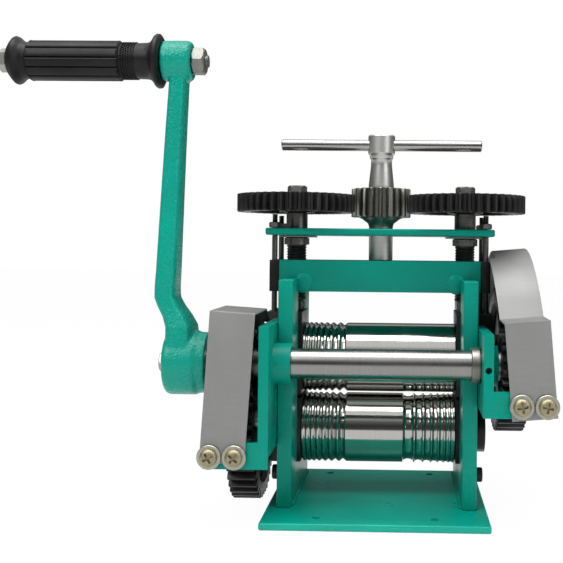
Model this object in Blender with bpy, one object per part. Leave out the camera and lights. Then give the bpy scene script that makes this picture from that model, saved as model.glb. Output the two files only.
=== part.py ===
"""Hand rolling mill with geared rolls, modelled as separate pieces. Metres, +Z up.

The origin is the middle of the base plate's underside. The rolls lie along X,
the crank shaft runs in front of them (towards -Y), and the crank is on the left.
"""
import math

import bmesh
import bpy
from mathutils import Matrix, Vector

for old in list(bpy.data.objects):
    bpy.data.objects.remove(old, do_unlink=True)

# ---- driving dimensions, in metres ----
MM = 0.001
GAP = 0.3 * MM                      # clearance between neighbouring pieces

BASE_WIDTH = 150 * MM
BASE_DEPTH = 150 * MM
BASE_THICK = 5 * MM
BASE_EDGE = 1.2 * MM
BOLT_SPACING_X = 78 * MM
BOLT_SPACING_Y = 122 * MM
BOLT_HOLE_RADIUS = 2.8 * MM

ROLL_AXIS_Y = 16 * MM               # rolls and screws lie over this line
ROLL_LENGTH = 110 * MM
ROLL_RADIUS = 25 * MM
ROLL_GAP = 1.5 * MM
LOWER_AXIS_Z = 50.5 * MM
JOURNAL_RADIUS = 14 * MM
GEAR_SEAT_RADIUS = 10 * MM

CHEEK_CLEAR = 3 * MM                # between a roll's end and the cheek
CHEEK_THICK = 10 * MM
CHEEK_FRONT_Y = -39 * MM
CHEEK_HEIGHT = 155.2 * MM
SLOT_WIDTH = 44 * MM
SLOT_FLOOR_Z = 28.5 * MM
CHEEK_EDGE = 0.5 * MM

BAR_HEIGHT = 22.4 * MM
BAR_UNDERSIDE_Z = 150.7 * MM
BAR_OVERHANG = 4 * MM

GEAR_MODULE = 2.5 * MM
PINION_TEETH = 16
IDLER_TEETH = 14
ROLL_GEAR_TEETH = 40
GEAR_FACE = 20 * MM
GEAR_INNER_X = 84 * MM
SHAFT_RADIUS = 10 * MM
SHAFT_AXIS_Z = 105.2 * MM

TOP_MODULE = 2 * MM
TOP_PINION_TEETH = 20
TOP_GEAR_TEETH = 42
TOP_GEAR_FACE = 13 * MM
TOP_GEAR_Z = 208 * MM
TOP_PINION_Z = 204.8 * MM
TOP_PINION_FACE = 21 * MM

LIFT_PLATE_LENGTH = 163 * MM
LIFT_PLATE_DEPTH = 54 * MM
LIFT_PLATE_THICK = 5 * MM
LIFT_PLATE_Z = 191 * MM
ROD_X = 75.8 * MM
ROD_SPACING = 36 * MM
ROD_RADIUS = 2 * MM

SCREW_RADIUS = 7.4 * MM
SCREW_NECK_RADIUS = 7.8 * MM
SCREW_BOTTOM_Z = 143 * MM
SCREW_NOSE_RADIUS = 4 * MM          # the nose that presses on the upper bearing block

CRANK_RADIUS = 200 * MM
GRIP_LENGTH = 103 * MM
GUARD_SHEET = 1.2 * MM

# ---- sizes worked out from them ----
UPPER_AXIS_Z = LOWER_AXIS_Z + 2 * ROLL_RADIUS + ROLL_GAP
ROLL_HALF = ROLL_LENGTH / 2
CHEEK_INNER_X = ROLL_HALF + CHEEK_CLEAR
CHEEK_OUTER_X = CHEEK_INNER_X + CHEEK_THICK
CHEEK_BACK_Y = 2 * ROLL_AXIS_Y - CHEEK_FRONT_Y
CHEEK_TOP_Z = BASE_THICK + CHEEK_HEIGHT
SLOT_HALF = SLOT_WIDTH / 2
BLOCK_HALF = SLOT_HALF - GAP
BAR_TOP_Z = BAR_UNDERSIDE_Z + BAR_HEIGHT
BAR_END_X = CHEEK_OUTER_X + BAR_OVERHANG
GEAR_OUTER_X = GEAR_INNER_X + GEAR_FACE
SCREW_X = TOP_MODULE * (TOP_PINION_TEETH + TOP_GEAR_TEETH) / 2
LIFT_PLATE_TOP_Z = LIFT_PLATE_Z + LIFT_PLATE_THICK
ROD_FRONT_Y = ROLL_AXIS_Y - ROD_SPACING / 2
ROD_BACK_Y = ROLL_AXIS_Y + ROD_SPACING / 2
PINION_DISTANCE = GEAR_MODULE * (PINION_TEETH + ROLL_GEAR_TEETH) / 2
SHAFT_Y = ROLL_AXIS_Y - math.sqrt(PINION_DISTANCE ** 2 - (SHAFT_AXIS_Z - UPPER_AXIS_Z) ** 2)
GRIP_AXIS_Z = SHAFT_AXIS_Z + CRANK_RADIUS

# foot bolts
FOOT_BOLT_Y = -24 * MM
FOOT_BOLT_Z = 26 * MM
FOOT_BOLT_RADIUS = 5 * MM

# bearing blocks and bushes
LOWER_BLOCK_TOP_Z = 74 * MM
LOWER_BLOCK_OUTER_X = 77 * MM
UPPER_BLOCK_BOTTOM_Z = 77 * MM
UPPER_BLOCK_TOP_Z = 136 * MM
UPPER_BLOCK_OUTER_X = 80.5 * MM
BUSH_RADIUS = JOURNAL_RADIUS + GAP + 2.2 * MM
ROD_BOTTOM_Z = UPPER_AXIS_Z + BUSH_RADIUS + 1.5 * MM

# roll grooves
WIRE_GROOVES = (5.0, 4.4, 3.8, 3.4, 3.0, 2.6, 2.2)      # widths in mm, square wire grooves
ROUND_GROOVES = (7.8, 5.6, 4.9, 4.0, 3.4, 2.7, 2.2)    # widths in mm, half-round grooves
GROOVE_LAND = 0.9 * MM
WIRE_START_X = -23.5 * MM
ROUND_START_X = 17.5 * MM

# gear teeth
PRESSURE_ANGLE = math.radians(20)
ADDENDUM = 0.92
DEDENDUM = 1.2
BACKLASH = 0.2 * MM
PINION_INNER_X = 81 * MM
PINION_TIP_CUT = 0.2 * MM       # room for the upper gear as its roll rises
ROLL_GEAR_RECESS = (17 * MM, 41 * MM, 4 * MM)
TOP_GEAR_SEAT_RADIUS = 6 * MM
TOP_GEAR_RECESS = (13 * MM, 34 * MM, 3 * MM)
RETAINER_RADIUS = 13 * MM

# crank shaft
SHAFT_RIGHT_END_X = 106.5 * MM
HUB_INNER_X = -116 * MM
HUB_OUTER_X = -139.5 * MM
IDLER_PIN_RADIUS = 6 * MM
BOSS_RADIUS = 13.5 * MM
BOSS_END_X = 56.5 * MM

# shaft brackets
BRACKET_FRONT_Y = -80.5 * MM
BRACKET_BACK_Y = -7 * MM
BRACKET_THICK = 6.5 * MM
BRACKET_INNER_X = CHEEK_OUTER_X + GAP
BRACKET_OUTER_X = BRACKET_INNER_X + BRACKET_THICK
LEFT_BRACKET_Z = (47.5 * MM, 131.5 * MM)
RIGHT_BRACKET_Z = (75 * MM, 128 * MM)
TAB_THICK = 4 * MM
TAB_LENGTH = 35 * MM
LEFT_TAB_Z = (40.5 * MM, 57.5 * MM)
RIGHT_TAB_Z = (75 * MM, 92 * MM)
GRUB_HOLE_RADIUS = 2.2 * MM

# gear guards
GUARD_SCREW_RADIUS = 2.5 * MM
GUARD_SCREW_X = {-1: (-89.5 * MM, -105.5 * MM), 1: (92.5 * MM, 108.5 * MM)}
GUARD_FRONT_Y = BRACKET_FRONT_Y - GAP - GUARD_SHEET
GUARD_WIDTH = 29 * MM
GUARD_TILT = {-1: math.radians(3.6), 1: math.radians(-5.0)}
GUARD_BOTTOM_INNER_X = {-1: -83 * MM, 1: 86.5 * MM}
GUARD_RELIEF_X = UPPER_BLOCK_OUTER_X + 1.5 * MM     # behind here the sheet clears the blocks and rods
GUARD_RELIEF_Y = -10 * MM
LEFT_GUARD_Z = (43.5 * MM, 140 * MM)
RIGHT_GUARD_Z = (73.5 * MM, 135.5 * MM)
GUARD_WRAP_RADIUS = 60 * MM        # left guard, round the lower gear
GUARD_HOOD_RADIUS = 74 * MM        # right guard, round the upper gear

# crank arm and grip
ARM_SECTIONS = (   # height above the shaft axis, middle X, thickness, width along Y (all mm)
    (0, -129.5, 18, 38), (24, -130, 17.5, 33), (31, -133, 16, 29), (43, -139.7, 14.2, 25),
    (60, -139.2, 13.8, 23.5), (120, -136.6, 12.6, 21), (186, -133.4, 11.3, 18.5), (200, -133.4, 11.3, 17))
HUB_RADIUS = 21.3 * MM
TOP_BOSS_RADIUS = 13.5 * MM
TOP_BOSS_X = (-144 * MM, -124.5 * MM)
GRIP_BOLT_RADIUS = 4 * MM
GRIP_RIGHT_X = TOP_BOSS_X[0] - GAP
HUB_BOLT_RADIUS = 4 * MM

# lift plate and screws
COLLAR_RADIUS = 9.2 * MM
COLLAR_BOTTOM_Z = 184.3 * MM
KEEPER_THICK = 1.1 * MM
PIVOT_RADIUS = 6 * MM
PIVOT_BOTTOM_Z = 158 * MM
SPINDLE_RADIUS = 8.8 * MM
SPINDLE_HOLE_RADIUS = 14 * MM
ROD_TOP_Z = 206 * MM

# T-handle
TBAR_Z = 257.8 * MM
TBAR_RADIUS = 4.15 * MM
TBAR_LENGTH = 147.5 * MM
HEAD_RADIUS = 9.9 * MM


def material(name, colour, roughness, metallic):
    mat = bpy.data.materials.new(name)
    mat.use_nodes = True
    shader = mat.node_tree.nodes["Principled BSDF"]
    shader.inputs["Base Color"].default_value = (*colour, 1)
    shader.inputs["Roughness"].default_value = roughness
    shader.inputs["Metallic"].default_value = metallic
    mat.diffuse_color = (*colour, 1)
    return mat


GREEN = material("green_paint", (0.0, 0.24, 0.17), 0.35, 0.0)
POLISHED = material("polished_steel", (0.62, 0.61, 0.58), 0.15, 1.0)
STEEL = material("machined_steel", (0.42, 0.41, 0.38), 0.3, 1.0)
BLACK = material("black_steel", (0.02, 0.02, 0.022), 0.4, 0.6)
DARK = material("oiled_steel", (0.1, 0.1, 0.09), 0.35, 0.9)
SHEET = material("grey_sheet", (0.45, 0.45, 0.43), 0.4, 0.8)
BRONZE = material("bush_bronze", (0.55, 0.33, 0.12), 0.35, 1.0)
ZINC = material("zinc_plate", (0.6, 0.55, 0.4), 0.3, 0.9)
GRIP = material("grip_rubber", (0.02, 0.02, 0.02), 0.6, 0.0)

# ---- shared makers ----
AXIS_TURN = {
    "X": Matrix.Rotation(math.radians(90), 4, "Y"),
    "Y": Matrix.Rotation(math.radians(-90), 4, "X"),
    "Z": Matrix.Identity(4),
}


def mesh_object(name, bm, mat, place=(0, 0, 0), smooth_angle=35):
    bmesh.ops.recalc_face_normals(bm, faces=bm.faces)
    mesh = bpy.data.meshes.new(name)
    bm.to_mesh(mesh)
    bm.free()
    mesh.materials.append(mat)
    mesh.shade_smooth()
    mesh.set_sharp_from_angle(angle=math.radians(smooth_angle))
    obj = bpy.data.objects.new(name, mesh)
    obj.location = place
    bpy.context.collection.objects.link(obj)
    return obj


def turned_mesh(profile, segments, bore=0.0, axis="Z"):
    """A lathe shape from (position, radius) pairs along its axis, with an optional bore."""
    bm = bmesh.new()
    outline = list(profile)
    if bore:
        outline += [(profile[-1][0], bore), (profile[0][0], bore)]
    rings = []
    for position, radius in outline:
        ring = []
        for step in range(segments):
            angle = 2 * math.pi * step / segments
            point = (radius * math.cos(angle), radius * math.sin(angle), position)
            ring.append(bm.verts.new(point))
        rings.append(ring)
    pairs = list(zip(rings, rings[1:]))
    if bore:
        pairs.append((rings[-1], rings[0]))
    for low, high in pairs:
        for step in range(segments):
            after = (step + 1) % segments
            bm.faces.new((low[step], low[after], high[after], high[step]))
    if not bore:
        bm.faces.new(rings[0])
        bm.faces.new(rings[-1])
    bmesh.ops.transform(bm, matrix=AXIS_TURN[axis], verts=bm.verts)
    return bm


def turned(name, profile, mat, place=(0, 0, 0), axis="Z", segments=32, bore=0.0):
    return mesh_object(name, turned_mesh(profile, segments, bore, axis), mat, place)


def rod(name, radius, low, high, mat, place=(0, 0, 0), axis="Z", segments=24, bore=0.0):
    return turned(name, [(low, radius), (high, radius)], mat, place, axis, segments, bore)


def block_mesh(low, high):
    bm = bmesh.new()
    bmesh.ops.create_cube(bm, size=1)
    size = [h - l for l, h in zip(low, high)]
    middle = [(h + l) / 2 for l, h in zip(low, high)]
    bmesh.ops.scale(bm, vec=size, verts=bm.verts)
    bmesh.ops.translate(bm, vec=middle, verts=bm.verts)
    return bm


def block(name, low, high, mat):
    return mesh_object(name, block_mesh(low, high), mat)


def prism_mesh(outline, low, high, axis="X"):
    """Extrude a closed outline. Along X it is given as (y, z), along Y as (x, z)."""
    bm = bmesh.new()
    ends = []
    for depth in (low, high):
        if axis == "X":
            points = [(depth, a, b) for a, b in outline]
        elif axis == "Y":
            points = [(a, depth, b) for a, b in outline]
        else:
            points = [(a, b, depth) for a, b in outline]
        ends.append([bm.verts.new(p) for p in points])
    count = len(outline)
    for step in range(count):
        after = (step + 1) % count
        bm.faces.new((ends[0][step], ends[0][after], ends[1][after], ends[1][step]))
    bm.faces.new(ends[0])
    bm.faces.new(ends[1])
    return bm


def hidden_tool(name, bm, place=(0, 0, 0)):
    tool = mesh_object(name, bm, BLACK, place)
    tool.hide_render = True
    tool.display_type = "WIRE"
    return tool


def boolean(obj, tool, operation="DIFFERENCE"):
    change = obj.modifiers.new(tool.name, "BOOLEAN")
    change.operation = operation
    change.object = tool
    change.solver = "EXACT"


def drill(obj, name, radius, low, high, place, axis="Z", segments=16):
    boolean(obj, hidden_tool(name, turned_mesh([(low, radius), (high, radius)], segments, 0, axis), place))


def add_bevel(obj, width, segments=2, angle=40):
    bevel = obj.modifiers.new("edge_round", "BEVEL")
    bevel.width = width
    bevel.segments = segments
    bevel.limit_method = "ANGLE"
    bevel.angle_limit = math.radians(angle)
    return bevel


def arc(centre, radius, start, end, steps):
    points = []
    for step in range(steps + 1):
        angle = math.radians(start + (end - start) * step / steps)
        points.append((centre[0] + radius * math.cos(angle), centre[1] + radius * math.sin(angle)))
    return points


def hexagon(across_flats):
    corner = across_flats / math.sqrt(3)
    return [(corner * math.cos(math.radians(60 * k)), corner * math.sin(math.radians(60 * k)))
            for k in range(6)]


# ---- gears ----

def involute(angle):
    return math.tan(angle) - angle


def tooth_outline(teeth, module, phase, tip_cut=0.0):
    """Closed gear outline with involute flanks. A tooth is centred at the phase angle."""
    pitch_radius = module * teeth / 2
    base_radius = pitch_radius * math.cos(PRESSURE_ANGLE)
    tip_radius = pitch_radius + ADDENDUM * module - tip_cut
    root_radius = pitch_radius - DEDENDUM * module
    half_tooth = math.pi / (2 * teeth) - BACKLASH / (2 * pitch_radius)
    flank_start = max(base_radius, root_radius)
    flank = []
    for share in (0.0, 1.0):
        radius = flank_start + (tip_radius - flank_start) * share
        roll = math.acos(min(1.0, base_radius / radius))
        flank.append((radius, half_tooth + involute(PRESSURE_ANGLE) - involute(roll)))
    if root_radius < base_radius:
        flank.insert(0, (root_radius, flank[0][1]))
    points = []
    for tooth in range(teeth):
        middle = phase + 2 * math.pi * tooth / teeth
        for radius, half in flank:
            points.append((radius * math.cos(middle - half), radius * math.sin(middle - half)))
        for radius, half in reversed(flank):
            points.append((radius * math.cos(middle + half), radius * math.sin(middle + half)))
    return points


def mate_phase(phase, teeth, line_angle, mate_teeth):
    """Phase of a gear that meshes with one of the given phase, along the line of centres."""
    share = ((line_angle - phase) * teeth / (2 * math.pi)) % 1.0
    return line_angle + math.pi - (0.5 - share) * 2 * math.pi / mate_teeth


def gear(name, outline, low, high, bore, mat, place, axis, recess=None):
    """A gear blank extruded between two positions, bored, with a ring recess in each face."""
    obj = mesh_object(name, prism_mesh(outline, low, high, axis), mat, place, 25)
    drill(obj, name + "_bore", bore, low - MM, high + MM, place, axis)
    if recess:
        inner, outer, depth = recess
        for side, start, end in (("a", low - MM, low + depth), ("b", high - depth, high + MM)):
            ring = turned_mesh([(start, outer), (end, outer)], 20, inner, axis)
            boolean(obj, hidden_tool(name + "_recess_" + side, ring, place))
    return obj


# ---- frame ----
def make_base_plate():
    base = block("base_plate", (-BASE_WIDTH / 2, -BASE_DEPTH / 2, 0),
                 (BASE_WIDTH / 2, BASE_DEPTH / 2, BASE_THICK), GREEN)
    add_bevel(base, BASE_EDGE, 1)
    for x in (-BOLT_SPACING_X / 2, BOLT_SPACING_X / 2):
        for y in (-BOLT_SPACING_Y / 2, BOLT_SPACING_Y / 2):
            drill(base, f"base_hole_{x:.3f}_{y:.3f}", BOLT_HOLE_RADIUS, -MM, BASE_THICK + MM, (x, y, 0))


def make_cheeks():
    slot_front = ROLL_AXIS_Y - SLOT_HALF
    slot_back = ROLL_AXIS_Y + SLOT_HALF
    bottom = BASE_THICK + GAP / 3
    outline = [(CHEEK_FRONT_Y, bottom), (CHEEK_BACK_Y, bottom), (CHEEK_BACK_Y, CHEEK_TOP_Z),
               (slot_back, CHEEK_TOP_Z), (slot_back, SLOT_FLOOR_Z), (slot_front, SLOT_FLOOR_Z),
               (slot_front, CHEEK_TOP_Z), (CHEEK_FRONT_Y, CHEEK_TOP_Z)]
    for side, sign in (("left", -1), ("right", 1)):
        ends = sorted((sign * CHEEK_INNER_X, sign * CHEEK_OUTER_X))
        cheek = mesh_object("cheek_" + side, prism_mesh(outline, *ends), GREEN)
        add_bevel(cheek, CHEEK_EDGE, 1)


def make_crossbar():
    front = ROLL_AXIS_Y - BLOCK_HALF
    back = ROLL_AXIS_Y + BLOCK_HALF
    bar = block("crossbar", (-BAR_END_X, front, BAR_UNDERSIDE_Z), (BAR_END_X, back, BAR_TOP_Z), GREEN)
    for x in (-SCREW_X, SCREW_X):
        drill(bar, f"bar_screw_hole_{x:.3f}", SCREW_RADIUS + GAP,
              BAR_UNDERSIDE_Z - MM, BAR_TOP_Z + MM, (x, ROLL_AXIS_Y, 0))
    drill(bar, "bar_pivot_hole", PIVOT_RADIUS + GAP, PIVOT_BOTTOM_Z - GAP, BAR_TOP_Z + MM, (0, ROLL_AXIS_Y, 0))


def make_rod_guides():
    front = ROLL_AXIS_Y - BLOCK_HALF
    back = ROLL_AXIS_Y + BLOCK_HALF
    for side, sign in (("left", -1), ("right", 1)):
        ends = sorted((sign * (BAR_END_X + GAP), sign * (ROD_X + 3.2 * MM)))
        guide = block("rod_guide_" + side, (ends[0], front, BAR_UNDERSIDE_Z), (ends[1], back, BAR_TOP_Z), DARK)
        for y in (ROD_FRONT_Y, ROD_BACK_Y):
            drill(guide, f"guide_hole_{side}_{y:.3f}", ROD_RADIUS + GAP,
                  BAR_UNDERSIDE_Z - MM, BAR_TOP_Z + MM, (sign * ROD_X, y, 0), "Z", 16)


def make_foot_bolts():
    """Cap screws in the outer face of each cheek, low on its front column."""
    for side, sign in (("left", -1), ("right", 1)):
        place = (sign * (CHEEK_OUTER_X + GAP), FOOT_BOLT_Y, FOOT_BOLT_Z)
        length = sign * 4.5 * MM
        turned("foot_bolt_" + side, [(0, FOOT_BOLT_RADIUS), (length * 0.85, FOOT_BOLT_RADIUS),
                                     (length, FOOT_BOLT_RADIUS - 0.6 * MM)], BLACK, place, "X", 20)


# ---- bearing blocks and rolls ----

def make_bearing_block(name, sign, low_z, high_z, outer_x, axis_z, bore):
    ends = sorted((sign * (ROLL_HALF + GAP), sign * outer_x))
    low = (ends[0], ROLL_AXIS_Y - BLOCK_HALF, low_z)
    high = (ends[1], ROLL_AXIS_Y + BLOCK_HALF, high_z)
    body = block(name, low, high, BLACK)
    drill(body, name + "_bore", bore, ends[0] - MM, ends[1] + MM, (0, ROLL_AXIS_Y, axis_z), "X", 20)
    return body


def make_bearing_blocks():
    for side, sign in (("left", -1), ("right", 1)):
        make_bearing_block("lower_block_" + side, sign, SLOT_FLOOR_Z + GAP, LOWER_BLOCK_TOP_Z,
                           LOWER_BLOCK_OUTER_X, LOWER_AXIS_Z, JOURNAL_RADIUS + GAP)
        upper = make_bearing_block("upper_block_" + side, sign, UPPER_BLOCK_BOTTOM_Z, UPPER_BLOCK_TOP_Z,
                                   UPPER_BLOCK_OUTER_X, UPPER_AXIS_Z, BUSH_RADIUS + GAP)
        bush = sorted((sign * (ROLL_HALF + GAP), sign * UPPER_BLOCK_OUTER_X))
        rod("upper_bush_" + side, BUSH_RADIUS, *bush, BRONZE, (0, ROLL_AXIS_Y, UPPER_AXIS_Z), "X", 20,
            JOURNAL_RADIUS + GAP)
        for y in (ROD_FRONT_Y, ROD_BACK_Y):
            drill(upper, f"block_rod_hole_{side}_{y:.3f}", ROD_RADIUS + GAP, ROD_BOTTOM_Z - GAP,
                  UPPER_BLOCK_TOP_Z + MM, (sign * ROD_X, y, 0), "Z", 16)


def wire_groove_profile(start):
    """V grooves for square wire, stepping outwards from the flat middle of a roll."""
    points = []
    edge = start
    for width in WIRE_GROOVES:
        half = width * MM / 2
        points.append((edge, ROLL_RADIUS))
        points.append((edge - half, ROLL_RADIUS - half * 0.75))
        points.append((edge - 2 * half, ROLL_RADIUS))
        edge -= 2 * half + GROOVE_LAND
    return points[::-1]


def round_groove_profile(start):
    """Half-round grooves, stepping outwards from the flat middle of the lower roll."""
    points = []
    edge = start
    for width in ROUND_GROOVES:
        half = width * MM / 2
        points.append((edge, ROLL_RADIUS))
        points.append((edge + half * 0.5, ROLL_RADIUS - half * 0.45))
        points.append((edge + half * 1.5, ROLL_RADIUS - half * 0.45))
        points.append((edge + 2 * half, ROLL_RADIUS))
        edge += 2 * half + GROOVE_LAND
    return points


def make_roll(name, axis_z, gear_sign, short_end, grooves):
    """A ground roll with its journals. The long journal carries the gear."""
    journal_end = gear_sign * (GEAR_INNER_X - 1.5 * MM)
    seat_end = gear_sign * (GEAR_OUTER_X + 2.5 * MM)
    gear_side = [(gear_sign * ROLL_HALF, ROLL_RADIUS), (gear_sign * ROLL_HALF, JOURNAL_RADIUS),
                 (journal_end, JOURNAL_RADIUS), (journal_end, GEAR_SEAT_RADIUS), (seat_end, GEAR_SEAT_RADIUS)]
    plain_side = [(-gear_sign * ROLL_HALF, ROLL_RADIUS), (-gear_sign * ROLL_HALF, JOURNAL_RADIUS),
                  (-gear_sign * short_end, JOURNAL_RADIUS)]
    left, right = (gear_side, plain_side) if gear_sign < 0 else (plain_side, gear_side)
    turned(name, left[::-1] + grooves + right, POLISHED, (0, ROLL_AXIS_Y, axis_z), "X", 18)


def make_rolls():
    make_roll("upper_roll", UPPER_AXIS_Z, 1, UPPER_BLOCK_OUTER_X - MM, wire_groove_profile(WIRE_START_X))
    grooves = wire_groove_profile(WIRE_START_X) + round_groove_profile(ROUND_START_X)
    make_roll("lower_roll", LOWER_AXIS_Z, -1, LOWER_BLOCK_OUTER_X - MM, grooves)


# ---- crank shaft, its pinions and the roll gears ----

def yz_angle(start, end):
    return math.atan2(end[1] - start[1], end[0] - start[0])


def idler_centre():
    """Where the idler meshes with both the left pinion and the lower roll's gear."""
    shaft = Vector((SHAFT_Y, SHAFT_AXIS_Z))
    roll = Vector((ROLL_AXIS_Y, LOWER_AXIS_Z))
    to_pinion = GEAR_MODULE * (PINION_TEETH + IDLER_TEETH) / 2
    to_gear = GEAR_MODULE * (IDLER_TEETH + ROLL_GEAR_TEETH) / 2
    between = (roll - shaft).length
    along = (to_pinion ** 2 - to_gear ** 2 + between ** 2) / (2 * between)
    out = math.sqrt(to_pinion ** 2 - along ** 2)
    direction = (roll - shaft) / between
    sideways = Vector((direction.y, -direction.x))
    return shaft + direction * along + sideways * out


IDLER = idler_centre()


def make_drive_gears():
    shaft = (SHAFT_Y, SHAFT_AXIS_Z)
    lower = (ROLL_AXIS_Y, LOWER_AXIS_Z)
    upper = (ROLL_AXIS_Y, UPPER_AXIS_Z)
    left_phase = math.radians(4)
    idler_phase = mate_phase(left_phase, PINION_TEETH, yz_angle(shaft, IDLER), IDLER_TEETH)
    lower_phase = mate_phase(idler_phase, IDLER_TEETH, yz_angle(IDLER, lower), ROLL_GEAR_TEETH)
    upper_phase = mate_phase(left_phase, PINION_TEETH, yz_angle(shaft, upper), ROLL_GEAR_TEETH)
    place = (0, *shaft)
    gear("pinion_left", tooth_outline(PINION_TEETH, GEAR_MODULE, left_phase), -GEAR_OUTER_X, -PINION_INNER_X,
         SHAFT_RADIUS + GAP, BLACK, place, "X")
    gear("pinion_right", tooth_outline(PINION_TEETH, GEAR_MODULE, left_phase, PINION_TIP_CUT), PINION_INNER_X,
         GEAR_OUTER_X, SHAFT_RADIUS + GAP, BLACK, place, "X")
    gear("idler_gear", tooth_outline(IDLER_TEETH, GEAR_MODULE, idler_phase), -GEAR_OUTER_X, -PINION_INNER_X,
         IDLER_PIN_RADIUS + GAP, BLACK, (0, *IDLER), "X")
    gear("lower_roll_gear", tooth_outline(ROLL_GEAR_TEETH, GEAR_MODULE, lower_phase), -GEAR_OUTER_X,
         -GEAR_INNER_X, GEAR_SEAT_RADIUS + GAP, BLACK, (0, *lower), "X", ROLL_GEAR_RECESS)
    gear("upper_roll_gear", tooth_outline(ROLL_GEAR_TEETH, GEAR_MODULE, upper_phase), GEAR_INNER_X,
         GEAR_OUTER_X, GEAR_SEAT_RADIUS + GAP, BLACK, (0, *upper), "X", ROLL_GEAR_RECESS)


def make_crank_shaft():
    turned("crank_shaft", [(HUB_OUTER_X + 3 * MM, SHAFT_RADIUS - 2 * MM), (HUB_INNER_X, SHAFT_RADIUS - 2 * MM),
                           (HUB_INNER_X, SHAFT_RADIUS), (SHAFT_RIGHT_END_X, SHAFT_RADIUS)],
           POLISHED, (0, SHAFT_Y, SHAFT_AXIS_Z), "X", 24)


# ---- brackets that carry the crank shaft ----

def make_bracket(side, sign, z_range, tab_z, boss_range):
    """A cheek-mounted plate with a boss for the shaft and a front tab for the gear guard."""
    ends = sorted((sign * BRACKET_INNER_X, sign * BRACKET_OUTER_X))
    low, high = z_range
    outline = [(BRACKET_FRONT_Y, low), (BRACKET_BACK_Y, low), (BRACKET_BACK_Y, high), (BRACKET_FRONT_Y, high)]
    plate = mesh_object("bracket_" + side, prism_mesh(outline, *ends), GREEN)
    tab_ends = sorted((sign * (BRACKET_OUTER_X - MM), sign * (BRACKET_OUTER_X + TAB_LENGTH)))
    tab = block_mesh((tab_ends[0], BRACKET_FRONT_Y, tab_z[0]), (tab_ends[1], BRACKET_FRONT_Y + TAB_THICK, tab_z[1]))
    boolean(plate, hidden_tool("tab_" + side, tab), "UNION")
    if tab_z[0] < low:
        web = block_mesh((ends[0], BRACKET_FRONT_Y, tab_z[0]), (ends[1], BRACKET_FRONT_Y + TAB_THICK, low + MM))
        boolean(plate, hidden_tool("tab_web_" + side, web), "UNION")
    boss = turned_mesh([(boss_range[0], BOSS_RADIUS), (boss_range[1], BOSS_RADIUS)], 24, 0, "X")
    boolean(plate, hidden_tool("boss_" + side, boss, (0, SHAFT_Y, SHAFT_AXIS_Z)), "UNION")
    drill(plate, "shaft_hole_" + side, SHAFT_RADIUS + GAP, sign * 40 * MM, sign * 90 * MM,
          (0, SHAFT_Y, SHAFT_AXIS_Z), "X", 24)
    for place in guard_screw_places(sign, tab_z):
        drill(plate, f"tab_hole_{place[0]:.4f}", GUARD_SCREW_RADIUS + GAP, -MM, TAB_THICK + MM,
              (place[0], BRACKET_FRONT_Y, place[2]), "Y", 16)
    return plate


def guard_screw_places(sign, tab_z):
    middle = (tab_z[0] + tab_z[1]) / 2 - 0.5 * MM
    return [(x, BRACKET_FRONT_Y, middle) for x in GUARD_SCREW_X[sign]]


def make_brackets():
    left_boss = (-BRACKET_OUTER_X + MM, -BOSS_END_X)
    make_bracket("left", -1, LEFT_BRACKET_Z, LEFT_TAB_Z, left_boss)
    right_boss = (BRACKET_INNER_X + MM, BRACKET_OUTER_X + 4.5 * MM)
    right = make_bracket("right", 1, RIGHT_BRACKET_Z, RIGHT_TAB_Z, right_boss)
    drill(right, "grub_hole", GRUB_HOLE_RADIUS, BRACKET_FRONT_Y - MM, SHAFT_Y,
          ((BRACKET_INNER_X + BRACKET_OUTER_X) / 2, 0, SHAFT_AXIS_Z), "Y", 16)
    grub_end = SHAFT_Y - SHAFT_RADIUS - 1.5 * MM
    rod("grub_screw", GRUB_HOLE_RADIUS - GAP, BRACKET_FRONT_Y + 4 * MM, grub_end, BLACK,
        ((BRACKET_INNER_X + BRACKET_OUTER_X) / 2, 0, SHAFT_AXIS_Z), "Y", 16)
    rod("shaft_collar", 12 * MM, CHEEK_OUTER_X - 6 * MM, BRACKET_INNER_X - GAP, DARK,
        (0, SHAFT_Y, SHAFT_AXIS_Z), "X", 24, SHAFT_RADIUS + GAP)


def make_idler_pin():
    """The idler turns on a pin whose head stands against the left bracket."""
    drill(bpy.data.objects["bracket_left"], "idler_pin_hole", IDLER_PIN_RADIUS + GAP, -BRACKET_OUTER_X - 4 * MM,
          -BRACKET_INNER_X + 2 * MM, (0, *IDLER), "X")
    turned("idler_pin", [(-GEAR_OUTER_X - 2.8 * MM, 9 * MM), (-GEAR_OUTER_X - GAP, 9 * MM),
                         (-GEAR_OUTER_X - GAP, IDLER_PIN_RADIUS), (-BRACKET_INNER_X, IDLER_PIN_RADIUS)],
           STEEL, (0, *IDLER), "X", 24)


# ---- gear guards of folded sheet ----

def left_guard_outline(inset, over):
    """Side view of the left guard: pinion box in front, then a slope over the lower gear."""
    low, high = LEFT_GUARD_Z
    centre = (ROLL_AXIS_Y, LOWER_AXIS_Z)
    wrap = arc(centre, GUARD_WRAP_RADIUS - inset, 62, 0, 8)
    points = [(GUARD_FRONT_Y + inset, low - over), (GUARD_FRONT_Y + inset, high - inset),
              (-30 * MM - inset * 0.4, high - inset)] + wrap
    points += [(wrap[-1][0], LOWER_AXIS_Z - 8 * MM - over), (wrap[-1][0] - 45 * MM, LOWER_AXIS_Z - 8 * MM - over),
               (-40 * MM, low - over)]
    return points


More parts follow.
